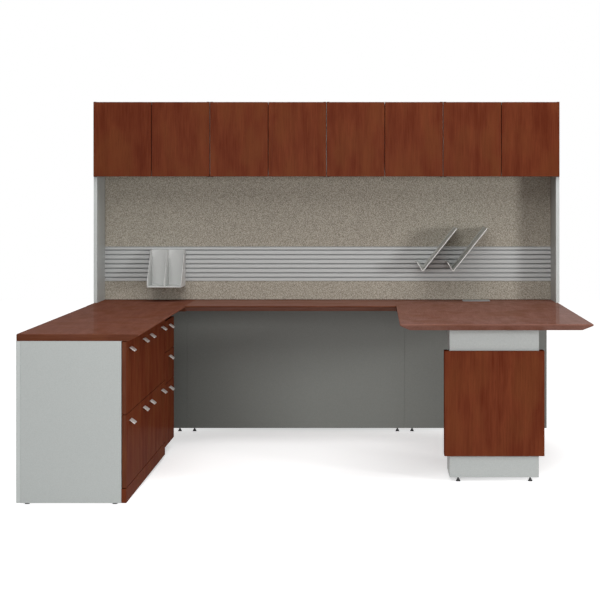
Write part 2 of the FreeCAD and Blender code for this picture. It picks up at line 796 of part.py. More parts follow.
def peninsulaSupport():
    """A laminate box under the peninsula, with a wooden cover wrapped round its front."""
    start = f"({right} - baseSet - baseWidth)"
    end = f"({right} - baseSet)"
    near = f"({peninsulaFront} + baseBehind)"
    far = f"({near} + baseDeep)"
    inside = (f"{start} + boardThick", f"{end} - boardThick")
    along = (f"{near} + boardThick", f"{far} - boardThick")
    boards = [
        board("baseBoxFront", (start, end), (near, along[0]), panelSpan),
        board("baseBoxBack", (start, end), (along[1], far), panelSpan),
        board("baseBoxLeft", (start, inside[0]), along, panelSpan),
        board("baseBoxRight", (inside[1], end), along, panelSpan),
        board("baseBoxRoof", inside, along, (f"{underTop} - boardThick", underTop)),
    ]
    group("peninsula_base", boards)

    coverFront = f"{near} - coverThick"
    cover = newBody("peninsula_front_cover", f"{start} - coverOverhang", coverFront, "coverBottom")
    wide = "(baseWidth + 2 * coverOverhang)"
    deep = "(coverThick + coverReturn)"
    corners = [
        ("0", "0"),
        (wide, "0"),
        (wide, deep),
        (f"{wide} - coverOverhang", deep),
        (f"{wide} - coverOverhang", "coverThick"),
        ("coverOverhang", "coverThick"),
        ("coverOverhang", deep),
        ("0", deep),
    ]
    high = f"{underTop} - coverDrop - coverBottom"
    shell = pad(cover, outline(cover, "XY_Plane", "coverOutline", corners), "coverShell", high)
    reach = value("edgeSoft")
    softened(cover, shell, "edgeSoft", lambda edge: edge.BoundBox.YMax < reach)
    keep("peninsula_front_cover", cover)
    return (start, end), (near, far)


def grommet():
    """A moulded frame in the worktop's cut-out, and a lid that lifts on two stub pins."""
    middle = f"({right} - grommetSet)"
    rimRear = f"({panelFace} - grommetGap)"
    rimFront = f"({rimRear} - grommetDeep)"

    def ring(name, inset, up):
        across = (f"{middle} - grommetWide / 2 + {inset}", f"{middle} + grommetWide / 2 - {inset}")
        return board(name, across, (f"{rimFront} + {inset}", f"{rimRear} - {inset}"), up)

    collarBottom = "(worktopHeight - collarDeep)"
    rimTop = "(worktopHeight + rimHigh)"
    rim = ring("grommetRim", "0", ("worktopHeight", rimTop))
    collar = ring("grommetCollar", "(rimLap + collarFit)", (collarBottom, "worktopHeight"))
    body = document.addObject("Part::Fuse", "grommetBody")
    body.Base = rim
    body.Tool = collar
    throat = ring("grommetThroat", "rimWide", (collarBottom, rimTop))
    open_ = document.addObject("Part::Cut", "grommetOpen")
    open_.Base = body
    open_.Tool = throat

    lidLow = "(worktopHeight + lidFloat)"
    axisZ = f"({lidLow} + lidThick / 2)"
    lidRear = f"({rimRear} - rimWide - lidFit)"
    axisY = f"({lidRear} - lidPivotInset)"
    inside = "(grommetWide - 2 * rimWide)"
    ledgeAcross = (f"{middle} - {inside} / 2", f"{middle} + {inside} / 2")
    ledgeAlong = (f"{rimFront} + rimWide", f"{rimFront} + rimWide + lidLedge")
    ledge = board("grommetLedge", ledgeAcross, ledgeAlong, ("worktopHeight - rimHigh", "worktopHeight"))
    ledged = document.addObject("Part::Fuse", "grommetLedged")
    ledged.Base = open_
    ledged.Tool = ledge

    def rod(name, radius, half):
        piece = document.addObject("Part::Cylinder", name)
        piece.setExpression("Radius", linked(radius))
        piece.setExpression("Height", linked(f"2 * ({half})"))
        piece.Placement.Rotation = FreeCAD.Rotation(FreeCAD.Vector(0, 1, 0), 90)
        place(piece, f"{middle} - ({half})", axisY, axisZ)
        return piece

    frame = document.addObject("Part::Cut", "grommet_frame")
    frame.Base = ledged
    frame.Tool = rod("grommetSockets", "lidPinRadius + pivotFit", f"{inside} / 2 + lidPinLong + lidFit")
    keep("grommet_frame", frame)

    lidAcross = (f"{middle} - {inside} / 2 + lidFit", f"{middle} + {inside} / 2 - lidFit")
    lidAlong = (f"{rimFront} + rimWide + lidFit", lidRear)
    plate = board("lidPlate", lidAcross, lidAlong, (lidLow, f"{lidLow} + lidThick"))
    lid = document.addObject("Part::Fuse", "grommet_lid")
    lid.Base = plate
    lid.Tool = rod("lidPins", "lidPinRadius", f"{inside} / 2 + lidPinLong")
    keep("grommet_lid", lid)


def glides(seams, base):
    """Levelling glides: a stem under the panel and a foot that spreads to the floor."""
    behind = f"{topLeft} + glideRadius"
    rearLine = f"{panelFace} + panelThick / 2"
    nearLine = f"{front} + glideSetback"
    caseLines = (f"{caseBack} + glideRadius", f"{caseFront} - glideInset")
    lateralEnd = f"({front} + {laterals} * lateralWidth)"
    pedestalStart = f"({lateralEnd} + pedestalGap + boardThick + boardThick / 2)"
    pedestalEnd = f"({lateralEnd} + pedestalGap + pedestalWidth - boardThick - boardThick / 2)"
    baseLines = (f"{caseBack} + baseRecess + glideInset", f"{caseFront} - baseRecess - glideInset")
    spots = []
    for x in caseLines:
        spots.append((x, nearLine))
        spots.append((x, f"{front} + lateralWidth"))
        spots.append((x, f"{lateralEnd} - boardThick / 2"))
    for x in baseLines:
        spots.append((x, pedestalStart))
        spots.append((x, pedestalEnd))
    spots.append((behind, f"({pedestalEnd} + {panelFace}) / 2"))
    for seam in seams:
        spots.append((f"{seam} - glideSeamInset", rearLine))
        spots.append((f"{seam} + glideSeamInset", rearLine))
    spots.append((f"{topLeft} + glideSeamInset", rearLine))
    spots.append((f"{topRight} - rearInset - glideSeamInset", rearLine))
    for x in (f"{base[0][0]} + glideInset", f"{base[0][1]} - glideInset"):
        spots.append((x, f"{base[1][0]} + boardThick / 2"))
        spots.append((x, f"{base[1][1]} - boardThick / 2"))

    pieces = []
    for x, y in spots:
        foot = document.addObject("Part::Cone", "glideFoot")
        foot.setExpression("Radius1", linked("glideRadius"))
        foot.setExpression("Radius2", linked("glideNeck"))
        foot.setExpression("Height", linked("glideFoot"))
        place(foot, x, y, "0")
        stem = document.addObject("Part::Cylinder", "glideStem")
        stem.setExpression("Radius", linked("glideStem"))
        stem.setExpression("Height", linked("floorGap - glideFoot"))
        place(stem, x, y, "glideFoot")
        glide = document.addObject("Part::Fuse", "glide")
        glide.Base = foot
        glide.Tool = stem
        pieces.append(glide)
    group("glides", pieces)


worktops()
storageWing()
panelSeams = rearPanels()
overheadBottom = hutch()
wallBoards(overheadBottom)
binderHolder()
paperTray("left_paper_tray", 0)
paperTray("right_paper_tray", 1)
baseSpans = peninsulaSupport()
grommet()
glides(panelSeams, baseSpans)
document.recompute()

for item in document.Objects:
    if "Invalid" in item.State or "Error" in item.State:
        raise ValueError(f"{item.Name} failed: {item.State}")
for name, piece in subParts.items():
    shape = piece.Shape
    if shape.isNull() or not shape.isValid() or shape.Volume <= 0:
        raise ValueError(f"{name} has no sound shape")

os.makedirs("parts", exist_ok=True)
for name, piece in subParts.items():
    piece.Shape.exportStep(f"parts/{name}.step")
whole = Part.makeCompound([piece.Shape for piece in subParts.values()])
box = whole.BoundBox
print(len(subParts), "sub-parts,", len(whole.Solids), "solids")
print("spans", [round(v, 2) for v in (box.XMin, box.XMax, box.YMin, box.YMax, box.ZMin, box.ZMax)])
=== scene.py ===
import math

import bmesh
import bpy
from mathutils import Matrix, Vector


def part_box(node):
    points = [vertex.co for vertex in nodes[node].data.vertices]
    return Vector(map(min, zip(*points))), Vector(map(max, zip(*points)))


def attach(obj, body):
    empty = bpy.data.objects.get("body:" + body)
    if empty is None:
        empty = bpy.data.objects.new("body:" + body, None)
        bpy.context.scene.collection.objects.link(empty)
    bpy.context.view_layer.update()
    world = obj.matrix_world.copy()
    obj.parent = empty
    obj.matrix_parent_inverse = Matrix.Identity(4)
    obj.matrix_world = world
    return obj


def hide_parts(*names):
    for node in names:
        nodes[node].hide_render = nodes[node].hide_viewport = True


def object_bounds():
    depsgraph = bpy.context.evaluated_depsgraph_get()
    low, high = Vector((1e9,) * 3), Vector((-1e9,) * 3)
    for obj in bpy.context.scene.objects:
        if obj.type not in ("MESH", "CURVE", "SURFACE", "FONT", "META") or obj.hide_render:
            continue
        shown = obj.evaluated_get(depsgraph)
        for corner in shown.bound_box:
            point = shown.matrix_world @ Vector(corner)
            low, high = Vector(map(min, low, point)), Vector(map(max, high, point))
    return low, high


# Cubicle workstation: cherry veneer on the worktops, fronts and doors, pale grey laminate on the
# carcasses, a speckled tackboard and a slotted aluminium rail. Metres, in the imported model's frame.

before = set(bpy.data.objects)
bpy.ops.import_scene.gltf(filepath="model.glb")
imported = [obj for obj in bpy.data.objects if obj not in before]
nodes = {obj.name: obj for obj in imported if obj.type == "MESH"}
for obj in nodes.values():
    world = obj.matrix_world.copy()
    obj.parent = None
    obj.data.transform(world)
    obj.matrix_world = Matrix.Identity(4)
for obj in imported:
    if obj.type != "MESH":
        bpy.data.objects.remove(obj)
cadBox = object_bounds()
scene = bpy.context.scene
scene.view_settings.view_transform = "Standard"


def hexColour(code):
    channels = [int(code[i:i + 2], 16) / 255 for i in (1, 3, 5)]
    return tuple(c / 12.92 if c <= 0.04045 else ((c + 0.055) / 1.055) ** 2.4 for c in channels) + (1.0,)


def plug(tree, node, links):
    # a source that is a node stands for its first output
    for key, source in links.items():
        tree.links.new(source.outputs[0] if isinstance(source, bpy.types.Node) else source, node.inputs[key])


def linked(name, data):
    item = bpy.data.objects.new(name, data)
    scene.collection.objects.link(item)
    return item


def addNode(tree, kind, settings=None, links=None):
    node = tree.nodes.new(kind)
    for key, value in (settings or {}).items():
        if key == "stops":
            band = node.color_ramp
            while len(band.elements) < len(value):
                band.elements.new(0.5)
            for element, (place, colour) in zip(band.elements, value):
                element.position = place
                element.color = colour
        elif isinstance(key, str) and hasattr(node, key):
            setattr(node, key, value)
        else:
            node.inputs[key].default_value = value
    plug(tree, node, links or {})
    return node


def newMaterial(name, shaderValues):
    material = bpy.data.materials.new(name)
    material.use_nodes = True
    tree = material.node_tree
    shader = tree.nodes["Principled BSDF"]
    for key, value in shaderValues.items():
        shader.inputs[key].default_value = value
    place = addNode(tree, "ShaderNodeTexCoord").outputs["Object"]
    return material, tree, shader, place


# finishes

# shades from dark to light, and the width of each kind of figure in the wood
cherry = {
    "front": ("#5D2817", "#68321E", "#733923"),
    "top": ("#734739", "#7B4D3E", "#835344"),
    # paler than 'top': in part a painted reflection of the tackboard on the bridge and peninsula
    "topWidePaintedReflection": ("#7D5346", "#865B4E", "#8F6356"),
    "lipping": ("#58301F", "#633828", "#6D4232"),
    "brown": "#66391F", "pore": "#4A1F11",
    "streak": 0.006, "band": 0.045, "cloud": 0.11, "poreWidth": 0.0016, "stretch": 20.0,
}


def cherryVeneer(name, shades, grain, roughness, coat, coatRoughness):
    # stained cherry, sliced and varnished: fine straight streaks, and soft clouds that turn a little brown;
    # the shine is all in the varnish, so the wood below it has none of its own
    material, tree, shader, place = newMaterial(
        name, {"Specular IOR Level": 0.0, "Coat Weight": coat, "Coat Roughness": coatRoughness}
    )
    leaf = addNode(tree, "ShaderNodeAttribute", {"attribute_name": "leaf"}).outputs["Fac"]
    offset = {"operation": "MULTIPLY_ADD", 1: (3.1, 5.7, 2.3)}
    shifted = addNode(tree, "ShaderNodeVectorMath", offset, {0: leaf, 2: place})

    def grainNoise(width, stretch, detail):
        squeeze = [1.0 / stretch if axis == grain else 1.0 for axis in "XYZ"]
        along = addNode(tree, "ShaderNodeMapping", {"Scale": squeeze}, {"Vector": shifted})
        return addNode(
            tree, "ShaderNodeTexNoise", {"Scale": 1.0 / width, "Detail": detail}, {"Vector": along}
        ).outputs["Fac"]

    stretch = cherry["stretch"]
    streak = grainNoise(cherry["streak"], stretch, 3.0)
    band = grainNoise(cherry["band"], stretch / 3, 2.0)
    cloud = grainNoise(cherry["cloud"], stretch / 10, 2.0)
    share = {"operation": "MULTIPLY_ADD", 1: 0.35}
    mixed = addNode(tree, "ShaderNodeMath", {"operation": "MULTIPLY", 1: 0.3}, {0: streak})
    mixed = addNode(tree, "ShaderNodeMath", share, {0: band, 2: mixed})
    mixed = addNode(tree, "ShaderNodeMath", share, {0: cloud, 2: mixed})
    stops = [(at, hexColour(shade)) for at, shade in zip((0.38, 0.5, 0.62), cherry[shades])]
    colour = addNode(tree, "ShaderNodeValToRGB", {"stops": stops}, {0: mixed})
    browning = {"From Min": 0.45, "From Max": 0.65, "To Min": 0.0, "To Max": 0.45}
    browned = addNode(tree, "ShaderNodeMapRange", browning, {0: cloud})
    brown = {"data_type": "RGBA", 7: hexColour(cherry["brown"])}
    colour = addNode(tree, "ShaderNodeMix", brown, {0: browned, 6: colour})
    pores = grainNoise(cherry["poreWidth"], stretch * 1.5, 1.0)
    poreDepth = {"From Min": 0.60, "From Max": 0.72, "To Min": 0.0, "To Max": 0.3}
    pores = addNode(tree, "ShaderNodeMapRange", poreDepth, {0: pores})
    dark = {"data_type": "RGBA", 7: hexColour(cherry["pore"])}
    colour = addNode(tree, "ShaderNodeMix", dark, {0: pores, 6: colour.outputs[2]})
    sheen = {"To Min": roughness - 0.03, "To Max": roughness + 0.05}
    gloss = addNode(tree, "ShaderNodeMapRange", sheen, {0: streak})
    dent = {"Strength": 0.08, "Distance": 0.0004, "invert": True}
    dents = addNode(tree, "ShaderNodeBump", dent, {"Height": pores})
    plug(tree, shader, {"Base Color": colour.outputs[2], "Roughness": gloss, "Normal": dents})
    return material


def mottled(name, dark, light, grain, shaderValues, bump=0.0, detail=2.0, spread=0.25, stretch=(1, 1, 1)):
    # one colour that wanders a little over grains of the given size, with a bump of the same grain
    material, tree, shader, place = newMaterial(name, shaderValues)
    place = addNode(tree, "ShaderNodeMapping", {"Scale": stretch}, {"Vector": place})
    noise = addNode(tree, "ShaderNodeTexNoise", {"Scale": 1.0 / grain, "Detail": detail}, {"Vector": place})
    stops = [(0.5 - spread, hexColour(dark)), (0.5 + spread, hexColour(light))]
    colour = addNode(tree, "ShaderNodeValToRGB", {"stops": stops}, {0: noise.outputs["Fac"]})
    plug(tree, shader, {"Base Color": colour})
    if bump:
        raised = {"Strength": 0.5, "Distance": bump}
        relief = addNode(tree, "ShaderNodeBump", raised, {"Height": noise.outputs["Fac"]})
        plug(tree, shader, {"Normal": relief})
    return material


def tackFabric():
    # panel fabric woven from light and dark yarn; its flecks of 1 to 2 mm are drawn 3 mm across, so that
    # they show in a view of the whole, over a finer heather
    look = {"dark": "#7E796C", "middle": "#A49D8F", "light": "#CBC5B8", "fleck": 0.003, "heather": 0.0015,
            "thread": 0.0022}
    material, tree, shader, place = newMaterial("wovenPanelFabric", {"Roughness": 0.92, "Sheen Weight": 0.12})
    speckle = [
        addNode(tree, "ShaderNodeTexNoise", {"Scale": 1.0 / look[grain], "Detail": detail}, {"Vector": place})
        for grain, detail in (("fleck", 1.0), ("heather", 2.0))
    ]
    halves = {2: speckle[0].outputs["Fac"], 3: speckle[1].outputs["Fac"]}
    mixed = addNode(tree, "ShaderNodeMix", {"data_type": "FLOAT", 0: 0.35}, halves)
    stops = [(at, hexColour(look[shade])) for at, shade in ((0.41, "dark"), (0.5, "middle"), (0.59, "light"))]
    colour = addNode(tree, "ShaderNodeValToRGB", {"stops": stops}, {0: mixed})
    yarns = [
        addNode(tree, "ShaderNodeTexWave", {"Scale": 0.5 / look["thread"], "bands_direction": way},
                {"Vector": place})
        for way in "XZ"
    ]
    crossing = {0: yarns[0].outputs["Fac"], 1: yarns[1].outputs["Fac"]}
    weave = addNode(tree, "ShaderNodeMath", {"operation": "MULTIPLY"}, crossing)
    relief = addNode(tree, "ShaderNodeBump", {"Strength": 0.4, "Distance": 0.0001}, {"Height": weave})
    plug(tree, shader, {"Base Color": colour, "Normal": relief})
    return material


frontCherry = cherryVeneer("satinVarnishedCherry", "front", "Z", 0.4, 0.035, 0.2)
edgeCherry = cherryVeneer("stainedCherryLipping", "lipping", "Z", 0.45, 0.03, 0.25)
topCherryDeep = cherryVeneer("glossVarnishedCherryLengthwise", "top", "Y", 0.4, 0.035, 0.05)
# the bridge and peninsula tops take the paler shades, in part a painted reflection of the tackboard
topCherryWide = cherryVeneer("glossVarnishedCherryCrosswise", "topWidePaintedReflection", "X", 0.4, 0.14, 0.05)
peninsulaCherry = cherryVeneer("glossVarnishedCherryPeninsula", "topWidePaintedReflection", "Y", 0.4, 0.12, 0.05)
frontLipping = cherryVeneer("glossVarnishedCherryLipping", "lipping", "X", 0.4, 0.06, 0.05)
# melamine laminate, pressed on a fine matt plate: even grey with hardly any texture
laminate = mottled("pressedMelamineLaminate", "#ACB0AE", "#B6BAB8", 0.004, {"Roughness": 0.42}, 0.00002)
# the same laminate in a deeper grey, on the panels below the tops: painted shade for the shadow that the tops
# cast on them
paintedShadeLaminate = mottled(
    "pressedMelamineLaminatePaintedShade", "#7A7C77", "#82847F", 0.004, {"Roughness": 0.45}, 0.00002
)
# and its edge band, darker still: painted shade that draws the seams between those panels
paintedShadeBand = mottled("extrudedEdgeBandPaintedShade", "#3E403D", "#454744", 0.006, {"Roughness": 0.5})
# extruded edge band, a shade lighter and smoother than the faces
edgeBand = mottled("extrudedEdgeBand", "#BBBFBD", "#C3C7C5", 0.006, {"Roughness": 0.34})
fabric = tackFabric()
# anodised aluminium: pale and satin, with faint draw lines along the extrusion
slatMetal = mottled(
    "anodisedAluminium", "#AFB1B0", "#B5B7B6", 0.0012, {"Metallic": 0.2, "Roughness": 0.42}, 0.00001,
    stretch=(0.02, 1, 1),
)
# the same, duller and a little darker, on the plate behind the grooves: painted shade in the grooves and in
# the reveal above the top slat
plateMetalPaintedShade = mottled("mattAnodisedAluminiumPaintedShade", "#9C9E9E", "#A4A6A6", 0.002, {"Roughness": 0.6})
# cast and plated zinc with a satin nickel skin: warm grey, soft highlights
nickel = mottled(
    "satinNickelPlate", "#D2CCC8", "#DEDAD6", 0.004, {"Metallic": 0.6, "Roughness": 0.36}, 0.00001
)
# zinc plated steel strip: cool, slightly cloudy
zinc = mottled("zincPlatedSteel", "#A6A9AD", "#BDBFC2", 0.012, {"Metallic": 1.0, "Roughness": 0.33}, 0.00001)
# powder coat: a very fine orange peel
paleCoat = mottled("palePowderCoat", "#D3D4D2", "#DCDDDB", 0.0015, {"Roughness": 0.45}, 0.00003)
silverCoat = mottled(
    "silverPowderCoat", "#B2B3AD", "#BABAB5", 0.0015, {"Metallic": 0.05, "Roughness": 0.40}, 0.00003
)
# on the edges where the sheet was cut, a painted highlight: the same coat drawn paler
paintedEdgeHighlight = mottled("silverPowderCoatPaintedHighlight", "#E4E4E1", "#ECECEA", 0.0015, {"Roughness": 0.35})
# moulded plastic: a faint spark-eroded grain
blackNylon = mottled("mouldedBlackNylon", "#141415", "#1E1E1F", 0.002, {"Roughness": 0.5}, 0.00003)
greyPlastic = mottled("mouldedGreyPlastic", "#8E9090", "#979999", 0.002, {"Roughness": 0.48}, 0.00003)
# lacquered birch: pale, with faint streaks along the board
birch = mottled(
    "lacqueredBirch", "#C3A77E", "#D6BE97", 0.006, {"Roughness": 0.4}, 0.00002, 3.0, 0.2, (0.08, 0.08, 1)
)
# hardboard: brown pressed fibre
hardboard = mottled("pressedHardboard", "#5D4331", "#735642", 0.003, {"Roughness": 0.75}, 0.00005, 4.0)
# blackened steel, which disappears in the seams of the doors
blackSteel = mottled(
    "blackOxideSteel", "#191614", "#231F1C", 0.003, {"Roughness": 0.55, "Metallic": 0.2}, 0.00001
)
# painted shade: a near black for the inside of a screw's socket
paintedSocketShade = mottled("paintedRecessShade", "#0B0B0B", "#121212", 0.002, {"Roughness": 0.8})
print("finishes ready")


# making pieces

def startPiece():
    return {"mesh": bmesh.new(), "leaves": []}


def joinPart(work, part, leaf=0.0):
    store = bpy.data.meshes.new("part")
    part.to_mesh(store)
    part.free()
    work["mesh"].from_mesh(store)
    work["leaves"] += [leaf] * len(store.vertices)
    bpy.data.meshes.remove(store)


def roundEdges(part, edges, width, segments=2):
    bmesh.ops.bevel(
        part, geom=edges, offset=width, segments=segments, profile=0.5, affect="EDGES", clamp_overlap=True
    )


def mergedCopy(node):
    # a CAD node's loose triangles, joined up into flat faces
    part = bmesh.new()
    part.from_mesh(nodes[node].data)
    bmesh.ops.remove_doubles(part, verts=part.verts[:], dist=0.00001)
    bmesh.ops.dissolve_limit(part, angle_limit=math.radians(1), verts=part.verts[:], edges=part.edges[:])
    return part


def sharpEdges(part, degrees):
    angle = math.radians(degrees)
    return [edge for edge in part.edges if len(edge.link_faces) == 2 and edge.calc_face_angle() > angle]


def addBoard(work, low, high, soft, broad=0, narrow=None, leaf=0.0, segments=2):
    # a board with rounded edges; its narrow sides can have a finish of their own
    part = bmesh.new()
    bmesh.ops.create_cube(part, size=1.0)
    for vert in part.verts:
        vert.co = Vector([(low[i] + high[i]) / 2 + vert.co[i] * (high[i] - low[i]) for i in range(3)])
    part.normal_update()
    thin = min(range(3), key=lambda i: high[i] - low[i])
    for face in part.faces:
        onBroad = narrow is None or abs(face.normal[thin]) > 0.5
        face.material_index = broad if onBroad else narrow
    roundEdges(part, part.edges[:], soft, segments)
    joinPart(work, part, leaf)


def finishPiece(name, work, finishes, body, slot, sheet=0.0, soft=0.0, rim=0, replaced=None):
    # a piece named like a CAD node takes its place
    if name in nodes:
        name, replaced = name + "_finished", name
    mesh = bpy.data.meshes.new(name)
    work["mesh"].to_mesh(mesh)
    work["mesh"].free()
    for finish in finishes:
        mesh.materials.append(finish)
    layer = mesh.attributes.new("leaf", "FLOAT", "POINT")
    layer.data.foreach_set("value", work["leaves"])
    mesh.shade_smooth()
    mesh.set_sharp_from_angle(angle=math.radians(42))
    piece = linked(name, mesh)
    if sheet:
        wall = piece.modifiers.new("sheet", "SOLIDIFY")
        wall.thickness = sheet
        wall.offset = 0.0
        wall.material_offset_rim = rim
    if soft:
        rounding = piece.modifiers.new("brokenEdges", "BEVEL")
        rounding.width = soft
        rounding.segments = 2
        rounding.limit_method = "ANGLE"
        rounding.angle_limit = math.radians(50)
    even = piece.modifiers.new("evenShading", "WEIGHTED_NORMAL")
    even.keep_sharp = True
    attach(piece, body)
    if replaced:
        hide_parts(replaced)


def boardPiece(node, boards, soft, finishes, body, slot, leaf=0.0):
    # one piece of one or more boards; a second finish goes on their narrow sides
    work = startPiece()
    for low, high in boards:
        addBoard(work, low, high, soft, 0, 1 if len(finishes) > 1 else None, leaf)
    finishPiece(node, work, finishes, body, slot)


def dress(node, finish):
    for slot in nodes[node].material_slots:
        slot.material = finish


def walkRuns(runs, distance):
    # follows straight runs and bends, (length, turn, radius), and gives the place that far along
    x = z = heading = 0.0
    for length, turn, radius in runs:
        step = min(distance, length)
        x += step * math.cos(heading)
        z += step * math.sin(heading)
        distance -= step
        arc = abs(turn) * radius
        step = min(distance, arc)
        if step > 0:
            part = turn * step / arc
            side = math.copysign(radius, turn)
            x += side * (math.sin(heading + part) - math.sin(heading))
            z += side * (math.cos(heading) - math.cos(heading + part))
            heading += part
            distance -= step
        if distance <= 0:
            break
    return x, z


def addFace(work, corners):
    part = bmesh.new()
    part.faces.new([part.verts.new(corner) for corner in corners])
    joinPart(work, part)


def addSheet(work, outline, runs, toPlace):
    # sheet metal: a flat outline, (along, across), folded along its runs and put in place
    part = bmesh.new()
    part.faces.new([part.verts.new((along, across, 0)) for along, across in outline])
    steps = 5
    mark = 0.0
    for length, turn, radius in runs:
        mark += length
        for step in range(steps + 1 if turn else 0):
            everything = part.verts[:] + part.edges[:] + part.faces[:]
            at = mark + abs(turn) * radius * step / steps
            bmesh.ops.bisect_plane(part, geom=everything, plane_co=(at, 0, 0), plane_no=(1, 0, 0))
        mark += abs(turn) * radius
    for vert in part.verts:
        x, z = walkRuns(runs, vert.co.x)
        vert.co = toPlace(x, vert.co.y, z)
    joinPart(work, part)


def roundCorner(centre, radius, quarter):
    # points on a quarter circle; quarter 0 runs from straight right to straight up
    turns = [(quarter + i / 6) * math.pi / 2 for i in range(7)]
    return [(centre[0] + radius * math.cos(t), centre[1] + radius * math.sin(t)) for t in turns]


def addRing(work, low, high, corner, profile, closed=True):
    # sweeps a profile of (inset, height) round a rectangle with rounded corners; an open profile's first
    # and last turns are filled
    part = bmesh.new()
    loops, leastRadius = [], 0.0004
    for inset, height in profile:
        radius = max(corner - inset, leastRadius)
        near = inset + radius
        x0, y0, x1, y1 = low.x + near, low.y + near, high.x - near, high.y - near
        loop = []
        for quarter, centre in enumerate(((x1, y1), (x0, y1), (x0, y0), (x1, y0))):
            loop += [part.verts.new((x, y, height)) for x, y in roundCorner(centre, radius, quarter)]
        loops.append(loop)
    for lower, upper in zip(loops, loops[1:] + (loops[:1] if closed else [])):
        for i in range(len(lower)):
            part.faces.new((lower[i - 1], lower[i], upper[i], upper[i - 1]))
    if not closed:
        part.faces.new(loops[0])
        part.faces.new(loops[-1])
    bmesh.ops.recalc_face_normals(part, faces=part.faces[:])
    joinPart(work, part)


def newTree(name, sockets):
    tree = bpy.data.node_groups.new(name, "GeometryNodeTree")
    tree.interface.new_socket(name="Geometry", in_out="OUTPUT", socket_type="NodeSocketGeometry")
    for label, kind in [("Geometry", "Geometry"), *sockets]:
        tree.interface.new_socket(name=label, in_out="INPUT", socket_type="NodeSocket" + kind)
    return tree, addNode(tree, "NodeGroupInput").outputs


def endTree(tree, links, finish=None):
    # puts a shape on every point, as real geometry
    placed = addNode(tree, "GeometryNodeInstanceOnPoints", {}, links)
    real = addNode(tree, "GeometryNodeRealizeInstances", {}, {0: placed})
    if finish:
        real = addNode(tree, "GeometryNodeSetMaterial", {}, {0: real, "Material": finish})
    addNode(tree, "NodeGroupOutput", {}, {0: real})


def grow(name, mesh, tree, values, body):
    # runs a tree on a mesh and keeps only the result
    piece = linked(name, mesh)
    modifier = piece.modifiers.new("grown", "NODES")
    modifier.node_group = tree
    for item in tree.interface.items_tree:
        if item.in_out == "INPUT" and item.name in values:
            modifier[item.identifier] = values[item.name]
    depsgraph = bpy.context.evaluated_depsgraph_get()
    grown = bpy.data.meshes.new_from_object(
        piece.evaluated_get(depsgraph), preserve_all_data_layers=True, depsgraph=depsgraph
    )
    piece.modifiers.clear()
    piece.data = grown
    grown.name = name
    grown.shade_smooth()
    grown.set_sharp_from_angle(angle=math.radians(35))
    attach(piece, body)
    return piece


def spotMesh(name, spots):
    # one vertex for each fixing, with the way that it faces
    mesh = bpy.data.meshes.new(name)
    mesh.from_pydata([place for place, facing in spots], [], [])
    layer = mesh.attributes.new("facing", "FLOAT_VECTOR", "POINT")
    layer.data.foreach_set("vector", [value for place, facing in spots for value in facing])
    return mesh


# worktops

topLook = {"seamY": 0.706, "past": 0.0005, "noseReach": 0.0095, "noseDown": 0.008, "cornerReach": 0.05,
           "cornerRise": 0.004, "corner": 0.008, "upper": 0.0042, "nose": 0.0025, "seam": 0.0005,
           "chamfer": 0.002, "underside": 0.02, "sharp": 18, "frontward": -0.6, "near": 0.0001}


def lippedTop(node, leaf, along, across, freeFront=True):
    # the CAD top, with its chamfers drawn out to sharp edges and then rounded like a solid lipping;
    # the grain runs round the front edge
    work = startPiece()
    part = mergedCopy(node)
    low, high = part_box(node)
    top = max(v.co.z for v in part.verts)
    near = topLook["near"]
    outer = [v for v in part.verts if top - topLook["chamfer"] < v.co.z < top - near]
    targets = {}
    for vert in part.verts:
        if vert.co.z > top - near:
            targets[vert] = min(outer, key=lambda other: (other.co - vert.co).length)
    for vert in outer:
        vert.co.z = top
    bmesh.ops.weld_verts(part, targetmap=targets)
    # what lies in front of the bridge's front edge has no seam; the bridge is free only at its nose
    seamY, past = topLook["seamY"], topLook["past"]
    corners, freeY = [], seamY + topLook["noseReach"]
    if freeFront:
        corners, freeY = [Vector((x, low.y)) for x in (low.x, high.x)], seamY - past
        everything = part.verts[:] + part.edges[:] + part.faces[:]
        bmesh.ops.bisect_plane(part, geom=everything, plane_co=(0, seamY, 0), plane_no=(0, 1, 0))

    def bevel(chosen, width, segments):
        part.normal_update()
        picked = []
        for edge in sharpEdges(part, topLook["sharp"]):
            start, end = (vert.co for vert in edge.verts)
            if chosen((start + end) / 2, end - start):
                picked.append(edge)
        roundEdges(part, picked, width, segments)

    def atCorner(middle, way):
        inReach = any((middle.xy - corner).length < topLook["cornerReach"] for corner in corners)
        rises = abs(way.z) > topLook["cornerRise"]
        return inReach and rises and abs(abs(way.x) - abs(way.y)) < 10 * near

    def onRim(middle, way):
        return middle.y < freeY and middle.z > top - 2 * near

    def onNose(middle, way):
        return middle.y < freeY and abs(middle.z - (top - topLook["noseDown"])) < 4 * near

    def onSeam(middle, way):
        return middle.y > seamY + past or middle.z < top - topLook["underside"]

    bevel(atCorner, topLook["corner"], 4)
    bevel(onRim, topLook["upper"], 4)
    bevel(onNose, topLook["nose"], 2)
    bevel(onSeam, topLook["seam"], 1)
    part.normal_update()
    for face in part.faces:
        face.material_index = 1 if face.normal.y < topLook["frontward"] else 0
    joinPart(work, part, leaf)
    finishPiece(node, work, [along, across], "frame", "worktop_veneer")


lippedTop("left_worktop", 0.21, topCherryDeep, frontLipping)
lippedTop("peninsula_worktop", 0.66, peninsulaCherry, topCherryWide)
lippedTop("bridge_worktop", 0.42, topCherryWide, frontLipping, False)
dress("worktop_joint_plates", zinc)
print("worktops ready")

# laminate panels and cases

def fourWalls(low, high, thick):
    # a box's upright boards; the two along x run through
    (x0, y0, z0), (x1, y1, z1) = low, high
    x2, x3, y2, y3 = x0 + thick, x1 - thick, y0 + thick, y1 - thick
    return [((x0, y0, z0), (x1, y2, z1)), ((x0, y3, z0), (x1, y1, z1)),
            ((x0, y2, z0), (x2, y3, z1)), ((x3, y2, z0), (x1, y3, z1))]


caseLook = {"board": 0.018, "plinthTop": 0.079, "pedestalBack": 0.012, "dividers": (-0.6335, 0.0, 0.6335),
            "baseRail": (-1.229, -1.211)}
board = caseLook["board"]


